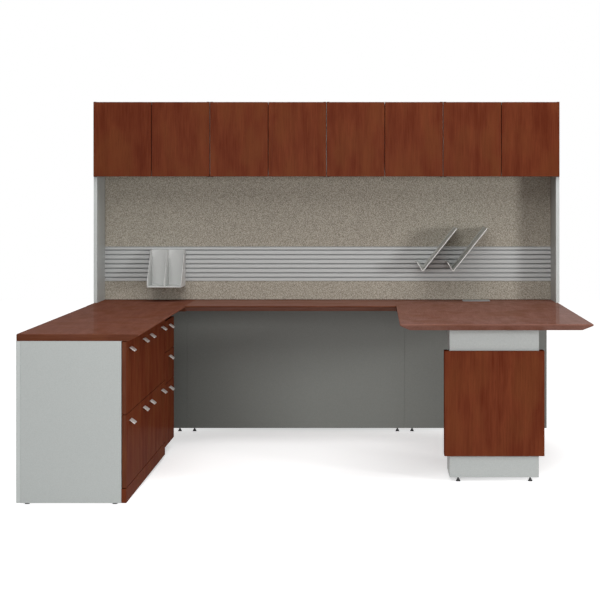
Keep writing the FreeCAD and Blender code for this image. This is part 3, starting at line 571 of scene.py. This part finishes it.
def caseBoards(node):
    # each case's boards, between its outer faces and the faces one board further in; a panel is one board
    (x0, y0, z0), (x1, y1, z1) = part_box(node)
    y2, y3, z2, z3 = y0 + board, y1 - board, z0 + board, z1 - board
    foot = caseLook["plinthTop"]
    if node == "near_lateral_case":
        rail0, rail1 = caseLook["baseRail"]
        return [((x0, y3, z0), (x1, y1, z1)), ((x0, y0, foot), (x1, y3, foot + board)),
                ((x0, y0, z3), (x1, y3, z1)), ((x0, rail0, z0), (x1, rail1, foot))]
    if node == "far_lateral_case":
        return [((x0, y0, z0), (x1, y2, z1)), ((x0, y3, z0), (x1, y1, z1)),
                ((x0, y2, foot), (x1, y3, foot + board)), ((x0, y2, z3), (x1, y3, z1))]
    if node == "pedestal_case":
        back = x0 + caseLook["pedestalBack"]
        return [((back, y0, z0), (x1, y2, z1)), ((back, y3, z0), (x1, y1, z1)),
                ((back, y2, z0), (x1, y3, z2)), ((back, y2, z3), (x1, y3, z1)),
                ((x0, y0, z0), (back, y1, z1))]
    if node == "overhead_case":
        boards = [((x0, y0, z3), (x1, y3, z1)), ((x0, y0, z0), (x1, y3, z2)), ((x0, y3, z0), (x1, y1, z1))]
        for middle in caseLook["dividers"]:
            boards.append(((middle - board / 2, y0, z2), (middle + board / 2, y3, z3)))
        return boards
    if node == "peninsula_base":
        return fourWalls(*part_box(node), board) + [((x0 + board, y2, z3), (x1 - board, y3, z1))]
    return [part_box(node)]


# the 'shade' panels take the laminate and edge band that carry painted shade
panelLook = {"pale": (0.0009, [laminate, edgeBand], "frame", "grey_laminate"),
             "shade": (0.0014, [paintedShadeLaminate, paintedShadeBand], "frame", "shade_laminate")}
panels = {"left_end_gable": "pale", "left_back_panel": "pale", "left_rear_panel": "shade",
          "middle_rear_panel": "shade", "right_rear_panel": "shade", "hutch_left_gable": "pale",
          "hutch_right_gable": "pale", "near_lateral_case": "pale", "far_lateral_case": "pale",
          "pedestal_case": "pale", "overhead_case": "pale", "peninsula_base": "pale"}
for node, kind in panels.items():
    boardPiece(node, caseBoards(node), *panelLook[kind])
dress("pedestal_base", laminate)
dress("pedestal_spacers", laminate)
print("panels and cases ready")

# wooden fronts, plinth, cover and doors; fronts of one file are cut from one leaf of veneer

frontLook = {"soft": 0.0012, "doorLeaf": 0.11, "doorStep": 0.137, "plinthLeaf": 0.44,
             "coverSoft": 0.0006, "coverLeaf": 0.92}
frontLeaves = {"near_lower": 0.31, "near_upper": 0.31, "far_lower": 0.57, "far_upper": 0.57,
               "pedestal_file": 0.83, "pedestal_middle": 0.83, "pedestal_top": 0.83}


def addFront(node, body, leaf, finishes):
    boardPiece(node, [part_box(node)], frontLook["soft"], finishes, body, "front_veneer", leaf)


for drawer, leaf in frontLeaves.items():
    addFront(drawer + "_drawer_front", drawer + "_drawer", leaf, [frontCherry, edgeCherry])
for number in range(1, 9):
    node = f"overhead_door_{number}"
    leaf = frontLook["doorLeaf"] + frontLook["doorStep"] * number
    addFront(node, node + "_leaf", leaf, [frontCherry, edgeCherry])
addFront("lateral_plinth", "frame", frontLook["plinthLeaf"], [frontCherry])
# the cover is the CAD board itself, with its sharp edges rounded off
work = startPiece()
part = mergedCopy("peninsula_front_cover")
roundEdges(part, sharpEdges(part, 20), frontLook["coverSoft"])
for face in part.faces:
    face.material_index = 0
joinPart(work, part, frontLook["coverLeaf"])
finishPiece("peninsula_front_cover", work, [frontCherry], "frame", "front_veneer")
print("wooden fronts ready")

# drawer boxes and runners

boxLook = {"side": 0.014, "bottom": 0.008, "slide": 0.00615, "slideHigh": 0.036, "slideRise": 0.030,
           "rearGap": 0.005, "frontGap": 0.0045, "strip": 0.0014, "stripSoft": 0.0003, "soft": 0.0008,
           "fileDeep": 0.2, "railHigh": 0.014, "railThick": 0.002, "railSoft": 0.0005, "runnerSpace": 0.0126}


def addChannel(work, x0, x1, wallY, openWay, z0, z1, material):
    # a rolled steel channel: its web on wallY, its two lips towards openWay
    strip = boxLook["strip"]
    inner, edge = wallY + strip * openWay, wallY + boxLook["slide"] * openWay
    for ys, low, high in (
        (sorted((wallY, inner)), z0, z1),
        (sorted((inner, edge)), z0, z0 + strip),
        (sorted((inner, edge)), z1 - strip, z1),
    ):
        addBoard(work, (x0, ys[0], low), (x1, ys[1], high), boxLook["stripSoft"], material)


runnerWork = startPiece()
side, lift, thick = boxLook["side"], boxLook["railHigh"] / 2, boxLook["railThick"]
for drawer in frontLeaves:
    node = drawer + "_drawer_box"
    low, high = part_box(node)
    x0, x1 = low.x + boxLook["rearGap"], high.x
    y0, y1 = low.y + boxLook["slide"], high.y - boxLook["slide"]
    z0, z1 = low.z, high.z
    x2, x3, y2, y3 = x0 + side, x1 - side, y0 + side, y1 - side
    work = startPiece()
    bottom = ((x2, y2, z0), (x3, y3, z0 + boxLook["bottom"]))
    for corners in fourWalls((x0, y0, z0), (x1, y1, z1), side) + [bottom]:
        addBoard(work, *corners, boxLook["soft"])
    slideX = (low.x, x1 - boxLook["frontGap"])
    slideZ = (z0 + boxLook["slideRise"], z0 + boxLook["slideRise"] + boxLook["slideHigh"])
    addChannel(work, *slideX, y0, -1, *slideZ, 1)
    addChannel(work, *slideX, y1, 1, *slideZ, 1)
    outer = boxLook["runnerSpace"]
    addChannel(runnerWork, *slideX, y0 - outer, 1, *slideZ, 0)
    addChannel(runnerWork, *slideX, y1 + outer, -1, *slideZ, 0)
    if z1 - z0 > boxLook["fileDeep"]:
        # steel rails that hanging folders ride on, along the longer sides of the box
        rails = [((x, y2, z1 - lift), (x + thick, y3, z1 + lift)) for x in (x2, x3 - thick)]
        if drawer.startswith("pedestal"):
            rails = [((x2, y, z1 - lift), (x3, y + thick, z1 + lift)) for y in (y2, y3 - thick)]
        for corners in rails:
            addBoard(work, *corners, boxLook["railSoft"], 1)
    finishPiece(node, work, [birch, zinc], drawer + "_drawer", "drawer_board")
finishPiece("drawer_runners", runnerWork, [zinc], "frame", "runner_steel")
print("drawers ready")

# pulls: a bent tab, a short shelf and then a blade that slopes out and down

pullLook = {"wide": 0.076, "thick": 0.003, "shelf": 0.003, "reach": 0.024, "tall": 0.019, "bend": 0.003,
            "corner": 0.004, "tip": 0.0009, "soft": 0.0006}


def addPull(work, faceX, y0, z0):
    shelf, thick, corner, bend = (pullLook[key] for key in ("shelf", "thick", "corner", "bend"))
    drop = pullLook["tall"] - thick
    out = pullLook["reach"] - shelf
    slope = math.atan2(drop, out)
    tangent = bend * math.tan(slope / 2)
    runs = [(shelf - tangent, -slope, bend), (math.hypot(drop, out) - tangent - pullLook["tip"], 0, 0)]
    flat = runs[0][0] + slope * bend + runs[1][0]
    wide = pullLook["wide"]
    outline = [(0, 0)] + roundCorner((flat - corner, corner), corner, -1)
    outline += roundCorner((flat - corner, wide - corner), corner, 0) + [(0, wide)]
    rootZ = z0 + pullLook["tall"] - thick / 2
    addSheet(work, outline, runs, lambda x, y, z: (faceX + x, y0 + y, rootZ + z))


for drawer in frontLeaves:
    lateral = not drawer.startswith("pedestal")
    node = drawer + ("_drawer_pulls" if lateral else "_drawer_pull")
    low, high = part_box(node)
    work = startPiece()
    for y in (low.y, high.y - pullLook["wide"])[:2 if lateral else 1]:
        addPull(work, low.x, y, low.z)
    finishPiece(node, work, [nickel], drawer + "_drawer", "pull_metal", pullLook["thick"], pullLook["soft"])
print("pulls ready")

# tackboards: fabric wrapped over the front and edges, hardboard let into the back

tackLook = {"soft": 0.003, "margin": 0.014, "backProud": 0.0006, "backLap": 0.001, "backSoft": 0.0002,
            "foot": 0.0018}
for node in ("upper_tackboard", "lower_tackboard"):
    low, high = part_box(node)
    if node == "lower_tackboard":
        # its cloth is turned under and closes the gap to the worktops
        low.z -= tackLook["foot"]
    work = startPiece()
    rear = high.y - tackLook["backProud"]
    addBoard(work, low, (high.x, rear, high.z), tackLook["soft"], 0, segments=4)
    inset = Vector((tackLook["margin"], 0, tackLook["margin"]))
    backLow = Vector((low.x, rear - tackLook["backLap"], low.z)) + inset
    addBoard(work, backLow, high - inset, tackLook["backSoft"], 1)
    finishPiece(node, work, [fabric, hardboard], "frame", "tack_fabric")
print("tackboards ready")

# slotted rail: a back plate with slats whose lips hang over pockets

railLook = {"lip": 0.004, "deep": 0.011, "pocket": 0.006, "firstGroove": 0.8616, "pitch": 0.0254,
            "mouth": 0.007, "grooves": 7, "soft": 0.0007, "plateSoft": 0.0005, "reveal": 0.003}
railLow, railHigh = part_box("slat_rail")


def addSlat(work, z0, z1, pocket):
    # one extruded slat, seen from its end
    front, shelf = railLow.y, z0 + railLook["pocket"]
    lip, deep = front + railLook["lip"], front + railLook["deep"]
    profile = [(front, z0), (lip, z0), (lip, shelf), (deep, shelf)] if pocket else [(front, z0), (deep, z0)]
    profile += [(deep, z1), (front, z1)]
    part = bmesh.new()
    left, right = ([part.verts.new((x, y, z)) for y, z in profile] for x in (railLow.x, railHigh.x))
    part.faces.new(left)
    part.faces.new(right)
    for i in range(len(profile)):
        part.faces.new((left[i - 1], left[i], right[i], right[i - 1]))
    bmesh.ops.recalc_face_normals(part, faces=part.faces[:])
    roundEdges(part, part.edges[:], railLook["soft"])
    joinPart(work, part)


rowTree, given = newTree("slatRow", [("Count", "Int"), ("Step", "Vector"), ("Finish", "Material")])
steps = {"Count": given["Count"], "Offset": given["Step"]}
line = addNode(rowTree, "GeometryNodeMeshLine", {"mode": "OFFSET"}, steps)
endTree(rowTree, {"Points": line, "Instance": given["Geometry"]}, given["Finish"])

pitch, mouth = railLook["pitch"], railLook["mouth"] / 2
lowestTop = railLook["firstGroove"] - mouth
lastGroove = railLook["firstGroove"] + (railLook["grooves"] - 1) * pitch
work = startPiece()
addSlat(work, lowestTop + 2 * mouth, lowestTop + pitch, True)
slatMesh = bpy.data.meshes.new("slat")
work["mesh"].to_mesh(slatMesh)
work["mesh"].free()
row = {"Count": railLook["grooves"] - 1, "Step": (0, 0, pitch), "Finish": slatMetal}
middleSlats = grow("slat_rail_middle", slatMesh, rowTree, row, "frame")
even = middleSlats.modifiers.new("evenShading", "WEIGHTED_NORMAL")
even.keep_sharp = True
work = startPiece()
addSlat(work, railLow.z, lowestTop, False)
addSlat(work, lastGroove + mouth, railHigh.z - railLook["reveal"], True)
addBoard(work, railLow + Vector((0, railLook["deep"], 0)), railHigh, railLook["plateSoft"], 1)
finishPiece("slat_rail_ends", work, [slatMetal, plateMetalPaintedShade], "frame", "slat_metal", replaced="slat_rail")
print("rail ready")

# hooks that hold the binder holder and the trays on the rail

hookLook = {"reach": 0.007, "firstGroove": 0.864, "drop": 0.0032, "rise": 0.0065, "strip": 0.0024,
            "soft": 0.0004}


def grooveLevel(groove):
    return hookLook["firstGroove"] + groove * railLook["pitch"]


def addHook(work, x0, x1, frontY, rearY, groove):
    # a strip that enters a groove and turns up behind the slat above it
    level, strip, soft = grooveLevel(groove), hookLook["strip"], hookLook["soft"]
    leg = level - hookLook["drop"]
    addBoard(work, (x0, frontY, leg), (x1, rearY, leg + strip), soft)
    addBoard(work, (x0, rearY - strip, leg), (x1, rearY, level + hookLook["rise"]), soft)


# binder holder

holderLook = {"thick": 0.003, "tall": 0.2, "deep": 0.24, "topDeep": 0.066, "bend": 0.004, "corner": 0.006,
              "nose": [(0.004, 0.026), (0.0015, 0.016)], "soft": 0.0007, "groove": 5, "hookRoot": 0.001}
low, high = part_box("binder_holder")
thick, deep, tall, bend, corner = (holderLook[key] for key in ("thick", "deep", "tall", "bend", "corner"))
frontX, backY, floorZ = low.x, high.y - hookLook["reach"], low.z
wide = high.x - low.x
work = startPiece()
# the shelf and the back are one strip, folded once
runs = [(deep - thick / 2 - bend, math.pi / 2, bend), (tall - thick / 2 - bend, 0, 0)]
flat = runs[0][0] + bend * math.pi / 2 + runs[1][0]
outline = []
for quarter, centre in enumerate(((corner, corner), (flat - corner, corner),
                                  (flat - corner, wide - corner), (corner, wide - corner))):
    outline += roundCorner(centre, corner, quarter - 2)
addSheet(work, outline, runs, lambda x, y, z: (frontX + y, backY - deep + x, floorZ + thick / 2 + z))
# three cheeks, with a rounded nose and a slanted front edge
topFront = deep - holderLook["topDeep"]
cheek = [(thick, thick), (deep - thick, thick), (deep - thick, tall), (topFront + 2 * corner, tall),
         (topFront, tall - corner)] + holderLook["nose"]
for x in (low.x + thick / 2, (low.x + high.x) / 2, high.x - thick / 2):
    addFace(work, [(x, backY - deep + y, floorZ + z) for y, z in cheek])
kind = ([paleCoat], "binder_holder_unit", "accessory_grey")
finishPiece("binder_holder", work, *kind, thick, holderLook["soft"])
work = startPiece()
addHook(work, low.x, high.x, backY - holderLook["hookRoot"], high.y, holderLook["groove"])
finishPiece("binder_holder_hook", work, *kind)
print("binder holder ready")

# paper trays: one folded sheet each, with a flange along the wall

trayLook = {"feet": {"left_paper_tray": 0.524, "right_paper_tray": 0.689}, "grooves": (3, 5),
            "lipAngle": math.radians(71), "tilt": math.radians(51.5), "thick": 0.003, "long": 0.302,
            "lip": 0.059, "deep": 0.3, "bend": 0.0035, "corner": 0.030, "lipCorner": 0.010,
            "flange": 0.008, "flangeCorner": 0.006, "gusset": 0.022, "tab": 0.012, "soft": 0.0007}


def addTray(node, footX):
    thick, bend, tilt, deep = (trayLook[key] for key in ("thick", "bend", "tilt", "deep"))
    lip, lipAngle, long = trayLook["lip"], trayLook["lipAngle"], trayLook["long"]
    low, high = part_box(node)
    footZ = low.z
    backY = high.y - hookLook["reach"]
    turn = math.pi - lipAngle
    tangent = bend * math.tan(turn / 2)
    shift = thick / 2 / math.tan(lipAngle / 2)
    runs = [(lip - shift - tangent, turn, bend), (long - shift - tangent, 0, 0)]
    flat = runs[0][0] + bend * turn + runs[1][0]
    small, large = trayLook["lipCorner"], trayLook["corner"]
    outline = roundCorner((small, small), small, 2) + roundCorner((flat - large, large), large, -1)
    outline += [(flat, deep), (0, deep)]
    # local x runs from the lip's tip down to the fold, local z square to it
    up = Vector((math.cos(tilt), 0, math.sin(tilt)))
    out = Vector((-math.sin(tilt), 0, math.cos(tilt)))
    lipWay = up * math.cos(lipAngle) + out * math.sin(lipAngle)
    across = lipWay.cross(Vector((0, 1, 0)))
    if across.dot(up) < 0:
        across = -across
    tip = Vector((footX, 0, footZ)) + up * shift + out * thick / 2 + lipWay * (lip - shift)

    def toPlace(x, y, z):
        place = tip - lipWay * x + across * z
        return (place.x, backY - deep + y, place.z)

    work = startPiece()
    addSheet(work, outline, runs, toPlace)
    # the flange along the wall, which widens to a gusset at the foot
    flange, flangeCorner = trayLook["flange"], trayLook["flangeCorner"]
    edge = [(thick, thick), (long, thick)]
    edge += roundCorner((long - flangeCorner, flange - flangeCorner), flangeCorner, 0)
    edge += [(trayLook["gusset"], flange), (lip * math.cos(lipAngle) + thick, lip * math.sin(lipAngle))]
    foot = Vector((footX, backY - thick / 2, footZ))
    addFace(work, [foot + up * a + out * b for a, b in edge])
    body = node + "_unit"
    # the sheet's rim takes the second finish, the painted highlight
    finishPiece(node, work, [silverCoat, paintedEdgeHighlight], body, "accessory_silver", thick, trayLook["soft"], 1)
    work = startPiece()
    half = trayLook["tab"] / 2
    for groove in trayLook["grooves"]:
        slope = footX + (grooveLevel(groove) - footZ) / math.tan(tilt)
        middle = slope - flange / math.sin(tilt) / 2
        addHook(work, middle - half, middle + half, backY - thick, high.y, groove)
    finishPiece(node + "_finished_hooks", work, [silverCoat], body, "accessory_silver")


for node, footX in trayLook["feet"].items():
    addTray(node, footX)
print("trays ready")

# cable grommet

grommetLook = {"rimHigh": 0.003, "rimLap": 0.0063, "rimWide": 0.011, "collar": 0.028, "corner": 0.009,
               "soft": 0.001, "pin": 0.002, "lidFit": 0.0004, "lidCorner": 0.003, "lidSoft": (0.0005, 0.0006)}
low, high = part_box("grommet_frame")
top, rimLow, collarLow = high.z, high.z - grommetLook["rimHigh"], high.z - grommetLook["collar"]
wide, lap, soft = grommetLook["rimWide"], grommetLook["rimLap"], grommetLook["soft"]
profile = [(0, rimLow), (0, top - soft), (soft, top), (wide - soft, top), (wide, top - soft),
           (wide, collarLow), (lap, collarLow), (lap, rimLow)]
work = startPiece()
addRing(work, low, high, grommetLook["corner"], profile)
finishPiece("grommet_frame", work, [greyPlastic], "frame", "grommet_plastic")
low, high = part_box("grommet_lid")
under, over = grommetLook["lidSoft"]
profile = [(under, low.z), (0, low.z + under), (0, high.z - over), (over, high.z)]
pinEnd = Vector((grommetLook["pin"] + grommetLook["lidFit"], 0, 0))
work = startPiece()
addRing(work, low + pinEnd, high - pinEnd, grommetLook["lidCorner"], profile, False)
finishPiece("grommet_lid", work, [greyPlastic], "grommet_cover", "grommet_plastic")
print("grommet ready")

# fixings that repeat: one small tree for round ones, with a core let in, and one for the glides

fixingInputs = {"Height": "Float", "Radius": "Float", "Sides": "Int", "Finish": "Material",
                "Core Radius": "Float", "Core Sides": "Int", "Core Finish": "Material"}
fixingTree, given = newTree("roundFixings", fixingInputs.items())
# the core stands a little proud of the head that it is let into; in its near-black finish it is painted shade
# for a socket
both = addNode(fixingTree, "GeometryNodeJoinGeometry")
for which, rise in (("", 0.0), ("Core ", 0.00012)):
    shape = {"Radius": given[which + "Radius"], "Vertices": given[which + "Sides"], "Depth": given["Height"]}
    stud = addNode(fixingTree, "GeometryNodeMeshCylinder", {}, shape)
    stud = addNode(fixingTree, "GeometryNodeTransform", {"Translation": (0, 0, rise)}, {0: stud})
    paint = {0: stud, "Material": given[which + "Finish"]}
    plug(fixingTree, both, {0: addNode(fixingTree, "GeometryNodeSetMaterial", {}, paint)})
named = {"data_type": "FLOAT_VECTOR", "Name": "facing"}
facing = addNode(fixingTree, "GeometryNodeInputNamedAttribute", named)
turned = addNode(fixingTree, "FunctionNodeAlignRotationToVector", {"axis": "Z"}, {"Vector": facing})
endTree(fixingTree, {"Points": given["Geometry"], "Instance": both, "Rotation": turned})

# the tree's inputs in their order, and how deep the head is sunk in the board
fixingLook = {
    "plateScrew": (0.0016, 0.0045, 16, zinc, 0.0018, 6, paintedSocketShade, 0.0),
    "bracketScrew": (0.0012, 0.0035, 16, blackSteel, 0.0014, 6, paintedSocketShade, 0.0),
    "bumper": (0.0018, 0.004, 16, paleCoat, 0.0015, 12, paleCoat, 0.0),
    "sleeve": (0.0006, 0.0038, 16, nickel, 0.0025, 16, paintedSocketShade, 0.0),
    "boxScrew": (0.0014, 0.0045, 16, zinc, 0.0018, 6, paintedSocketShade, 0.0002),
    "rearScrew": (0.0006, 0.005, 16, zinc, 0.002, 6, paintedSocketShade, 0.0005),
}


def addFixings(name, spots, kind, body="frame"):
    # each spot is a place on a board's face, with the way that the face looks
    *values, sunk = fixingLook[kind]
    lift = values[0] / 2 - sunk
    spots = [(Vector(place) + Vector(facing) * lift, facing) for place, facing in spots]
    grow(name, spotMesh(name, spots), fixingTree, dict(zip(fixingInputs, values)), body)


down, forward, backward = (0, 0, -1), (-1, 0, 0), (0, 1, 0)
# socket screws under the joint plates
jointLook = {"rows": (0.831, 1.169), "reach": (-0.055, -0.02, 0.02, 0.055)}
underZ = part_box("worktop_joint_plates")[0].z
seams = (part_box("left_worktop")[1].x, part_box("peninsula_worktop")[0].x)
spots = [((seam + reach, y, underZ), down) for seam in seams for y in jointLook["rows"]
         for reach in jointLook["reach"]]
addFixings("joint_plate_screws", spots, "plateScrew")
# socket screws in the feet of the door brackets, on the hinge side of the doors between the outer two
doorLook = {"screwIn": 0.008, "screwFromBack": 0.011, "bumperIn": 0.012, "bumperUp": 0.022}
doors = {number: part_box(f"overhead_door_{number}") for number in range(1, 9)}
footLow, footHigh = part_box("door_pivot_brackets")
spots = []
for number in range(2, 8):
    low, high = doors[number]
    x = low.x + doorLook["screwIn"] if number % 2 else high.x - doorLook["screwIn"]
    spots.append(((x, footHigh.y - doorLook["screwFromBack"], footLow.z), down))
addFixings("door_bracket_screws", spots, "bracketScrew")
dress("door_pivot_brackets", blackSteel)
# pale bumpers behind the free corners of the doors
for number, (low, high) in doors.items():
    inset = doorLook["bumperIn"]
    x = high.x - inset if number % 2 else low.x + inset
    spots = [((x, high.y, z), backward) for z in (low.z + doorLook["bumperUp"], high.z - inset)]
    addFixings(f"door_bumpers_{number}", spots, "bumper", f"overhead_door_{number}_leaf")
# shelf pin sleeves on the walls inside the overhead case
sleeveLook = {"rows": 7, "pitch": 0.032, "columns": (1.03, 1.24), "low": 1.53}
walls = [(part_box("hutch_left_gable")[1].x, 1)]
for middle in caseLook["dividers"]:
    walls += [(middle - board / 2, -1), (middle + board / 2, 1)]
walls.append((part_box("hutch_right_gable")[0].x, -1))
levels = [sleeveLook["low"] + row * sleeveLook["pitch"] for row in range(sleeveLook["rows"])]
spots = [((x, y, z), (way, 0, 0)) for x, way in walls for y in sleeveLook["columns"] for z in levels]
addFixings("shelf_pin_sleeves", spots, "sleeve")
# screws through the inner fronts of the drawer boxes
boxScrewLook = {"side": 0.09, "edge": 0.030}
for drawer in frontLeaves:
    low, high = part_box(drawer + "_drawer_box")
    x = high.x - boxLook["side"]
    ys = (low.y + boxScrewLook["side"], high.y - boxScrewLook["side"])
    zs = (low.z + boxScrewLook["edge"], high.z - boxScrewLook["edge"])
    spots = [((x, y, z), forward) for y in ys for z in zs]
    addFixings(drawer + "_front_screws", spots, "boxScrew", drawer + "_drawer")
# screws in the back: columns and rows on the panels, the gables and the overhead case
rearScrews = {
    "panels": ((-1.225, -0.83, -0.745, -0.2, 0.387, 0.473, 0.82, 1.184), (0.060, 0.665)),
    "gables": ((-1.2575, 1.2575), (0.80, 1.10, 1.40, 1.78)),
    "case": ((-1.0, -0.635, -0.3175, 0.0, 0.3175, 0.635, 1.0), (1.445, 1.821)),
}
spots = [((x, cadBox[1][1], z), backward) for xs, zs in rearScrews.values() for x in xs for z in zs]
addFixings("rear_screws", spots, "rearScrew")

glideLook = {"Neck": 0.007, "Foot": 0.012, "Foot Height": 0.008, "Nut": 0.0075, "Nut Height": 0.004,
             "Stem": 0.004, "Total": 0.018}
glideInputs = [(label, "Float") for label in glideLook] + [("Finish", "Material")]
glideTree, given = newTree("levellingGlides", glideInputs)
foot = addNode(glideTree, "GeometryNodeMeshCone", {"Vertices": 24, "Side Segments": 2},
               {"Radius Top": given["Neck"], "Radius Bottom": given["Foot"], "Depth": given["Foot Height"]})
whole = addNode(glideTree, "GeometryNodeJoinGeometry", {}, {0: foot})
# a nut that stands on the foot, and a stem that stands on the floor
bars = ((6, "Nut", "Nut Height", {2: given["Foot Height"]}), (16, "Stem", "Total", {}))
for sides, radius, tall, base in bars:
    size = {"Radius": given[radius], "Depth": given[tall]}
    bar = addNode(glideTree, "GeometryNodeMeshCylinder", {"Vertices": sides}, size)
    halved = {"operation": "MULTIPLY_ADD", 1: 0.5, 2: 0.0}
    middle = addNode(glideTree, "ShaderNodeMath", halved, {0: given[tall], **base})
    place = addNode(glideTree, "ShaderNodeCombineXYZ", {}, {"Z": middle})
    bar = addNode(glideTree, "GeometryNodeTransform", {}, {0: bar, "Translation": place})
    plug(glideTree, whole, {0: bar})
endTree(glideTree, {"Points": given["Geometry"], "Instance": whole}, given["Finish"])

# columns and rows of glides below each part
glideRows = {
    "files": ((-1.233, -0.8555), (-1.22, -0.557, 0.196)),
    "pedestal": ((-1.145, -0.9155), (0.239, 0.611)),
    "outer panel": ((-1.251,), (0.9525,)),
    "rear panels": ((-1.222, -0.829, -0.747, 0.389, 0.471, 1.184), (1.3065,)),
    "peninsula": ((0.648, 0.982), (-0.569, -0.287)),
}
spots = [(x, y, 0.0) for xs, ys in glideRows.values() for x in xs for y in ys]
mesh = bpy.data.meshes.new("glideSpots")
mesh.from_pydata(spots, [], [])
values = {**glideLook, "Finish": blackNylon}
glides = grow("glides_finished", mesh, glideTree, values, "frame")
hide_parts("glides")
print("fixings and glides ready")

# stage, lights and camera

# the floor turns white away from the object, so that no horizon shows, and keeps the shadows near it
stageLook = {"size": 14.0, "low": -0.0004, "colour": "#E9E9E9", "middle": (-0.12, 0.4, 0.0), "near": 0.75,
             "far": 1.9, "nearGlow": 0.46, "ambient": 0.10}


def seenByEye(tree):
    # 1 on what the eye sees, straight, mirrored or through glass, and 0 where light is only gathered
    ray = addNode(tree, "ShaderNodeLightPath").outputs
    seen = ray["Is Camera Ray"]
    for way in ("Is Glossy Ray", "Is Transmission Ray"):
        seen = addNode(tree, "ShaderNodeMath", {"operation": "MAXIMUM"}, {0: seen, 1: ray[way]}).outputs[0]
    return seen


floorMesh = bpy.data.meshes.new("studioFloor")
edge = stageLook["size"]
corners = [(-edge, -edge, 0), (edge, -edge, 0), (edge, edge, 0), (-edge, edge, 0)]
floorMesh.from_pydata(corners, [], [(0, 1, 2, 3)])
studioFloor = linked("studioFloor", floorMesh)
studioFloor.location.z = stageLook["low"]
matt = {"Roughness": 0.9, "Base Color": hexColour(stageLook["colour"]), "Specular IOR Level": 0.0}
material, tree, shader, place = newMaterial("paleStudioFloor", matt)
away = addNode(tree, "ShaderNodeVectorMath", {"operation": "DISTANCE", 1: stageLook["middle"]}, {0: place})
rise = {"interpolation_type": "SMOOTHSTEP", "From Min": stageLook["near"], "From Max": stageLook["far"],
        "To Min": stageLook["nearGlow"], "To Max": 1.0}
rising = addNode(tree, "ShaderNodeMapRange", rise, {0: away.outputs["Value"]})
strength = addNode(tree, "ShaderNodeMath", {"operation": "MULTIPLY"}, {0: seenByEye(tree), 1: rising})
glow = addNode(tree, "ShaderNodeEmission", {}, {"Strength": strength})
added = addNode(tree, "ShaderNodeAddShader", {}, {0: shader, 1: glow})
plug(tree, tree.nodes["Material Output"], {"Surface": added})
floorMesh.materials.append(material)

world = bpy.data.worlds.new("studio")
scene.world = world
world.use_nodes = True
tree = world.node_tree
dim = {"To Min": stageLook["ambient"], "To Max": 1.0}
level = addNode(tree, "ShaderNodeMapRange", dim, {0: seenByEye(tree)})
plug(tree, tree.nodes["Background"], {"Strength": level})
tree.nodes["Background"].inputs["Color"].default_value = (1, 1, 1, 1)

lamps = {
    "keySoftbox": {"place": (4.3, -4.1, 1.35), "aim": (0.4, 1.1, 1.05), "size": (0.9, 0.9), "watts": 114},
    "highSoftbox": {"place": (-0.9, -5.0, 4.2), "aim": (-0.4, 0.4, 0.8), "size": (3.6, 2.2), "watts": 88},
    "lowSoftbox": {"place": (-0.3, -6.4, 1.35), "aim": (0.0, 0.4, 0.8), "size": (3.4, 1.8), "watts": 54},
    "topSoftbox": {"place": (0.5, -1.0, 4.4), "aim": (0.2, 0.0, 0.7), "size": (4.4, 3.2), "watts": 106},
}
for name, lamp in lamps.items():
    light = bpy.data.lights.new(name, "AREA")
    light.shape = "RECTANGLE"
    light.size, light.size_y = lamp["size"]
    light.energy = lamp["watts"]
    holder = linked(name, light)
    holder.location = lamp["place"]
    way = Vector(lamp["aim"]) - Vector(lamp["place"])
    holder.rotation_euler = way.to_track_quat("-Z", "Y").to_euler()

cameraLook = {"place": (0.258, -9.549, 1.342), "lens": 116.22, "sensor": 36.0, "shift": (-0.1233, -0.1807)}
cameraData = bpy.data.cameras.new("camera")
cameraData.lens = cameraLook["lens"]
cameraData.sensor_width = cameraLook["sensor"]
cameraData.shift_x, cameraData.shift_y = cameraLook["shift"]
cameraData.clip_end = 100.0
camera = linked("camera", cameraData)
camera.location = cameraLook["place"]
camera.rotation_euler = (math.pi / 2, 0, 0)
scene.camera = camera
print("stage ready")
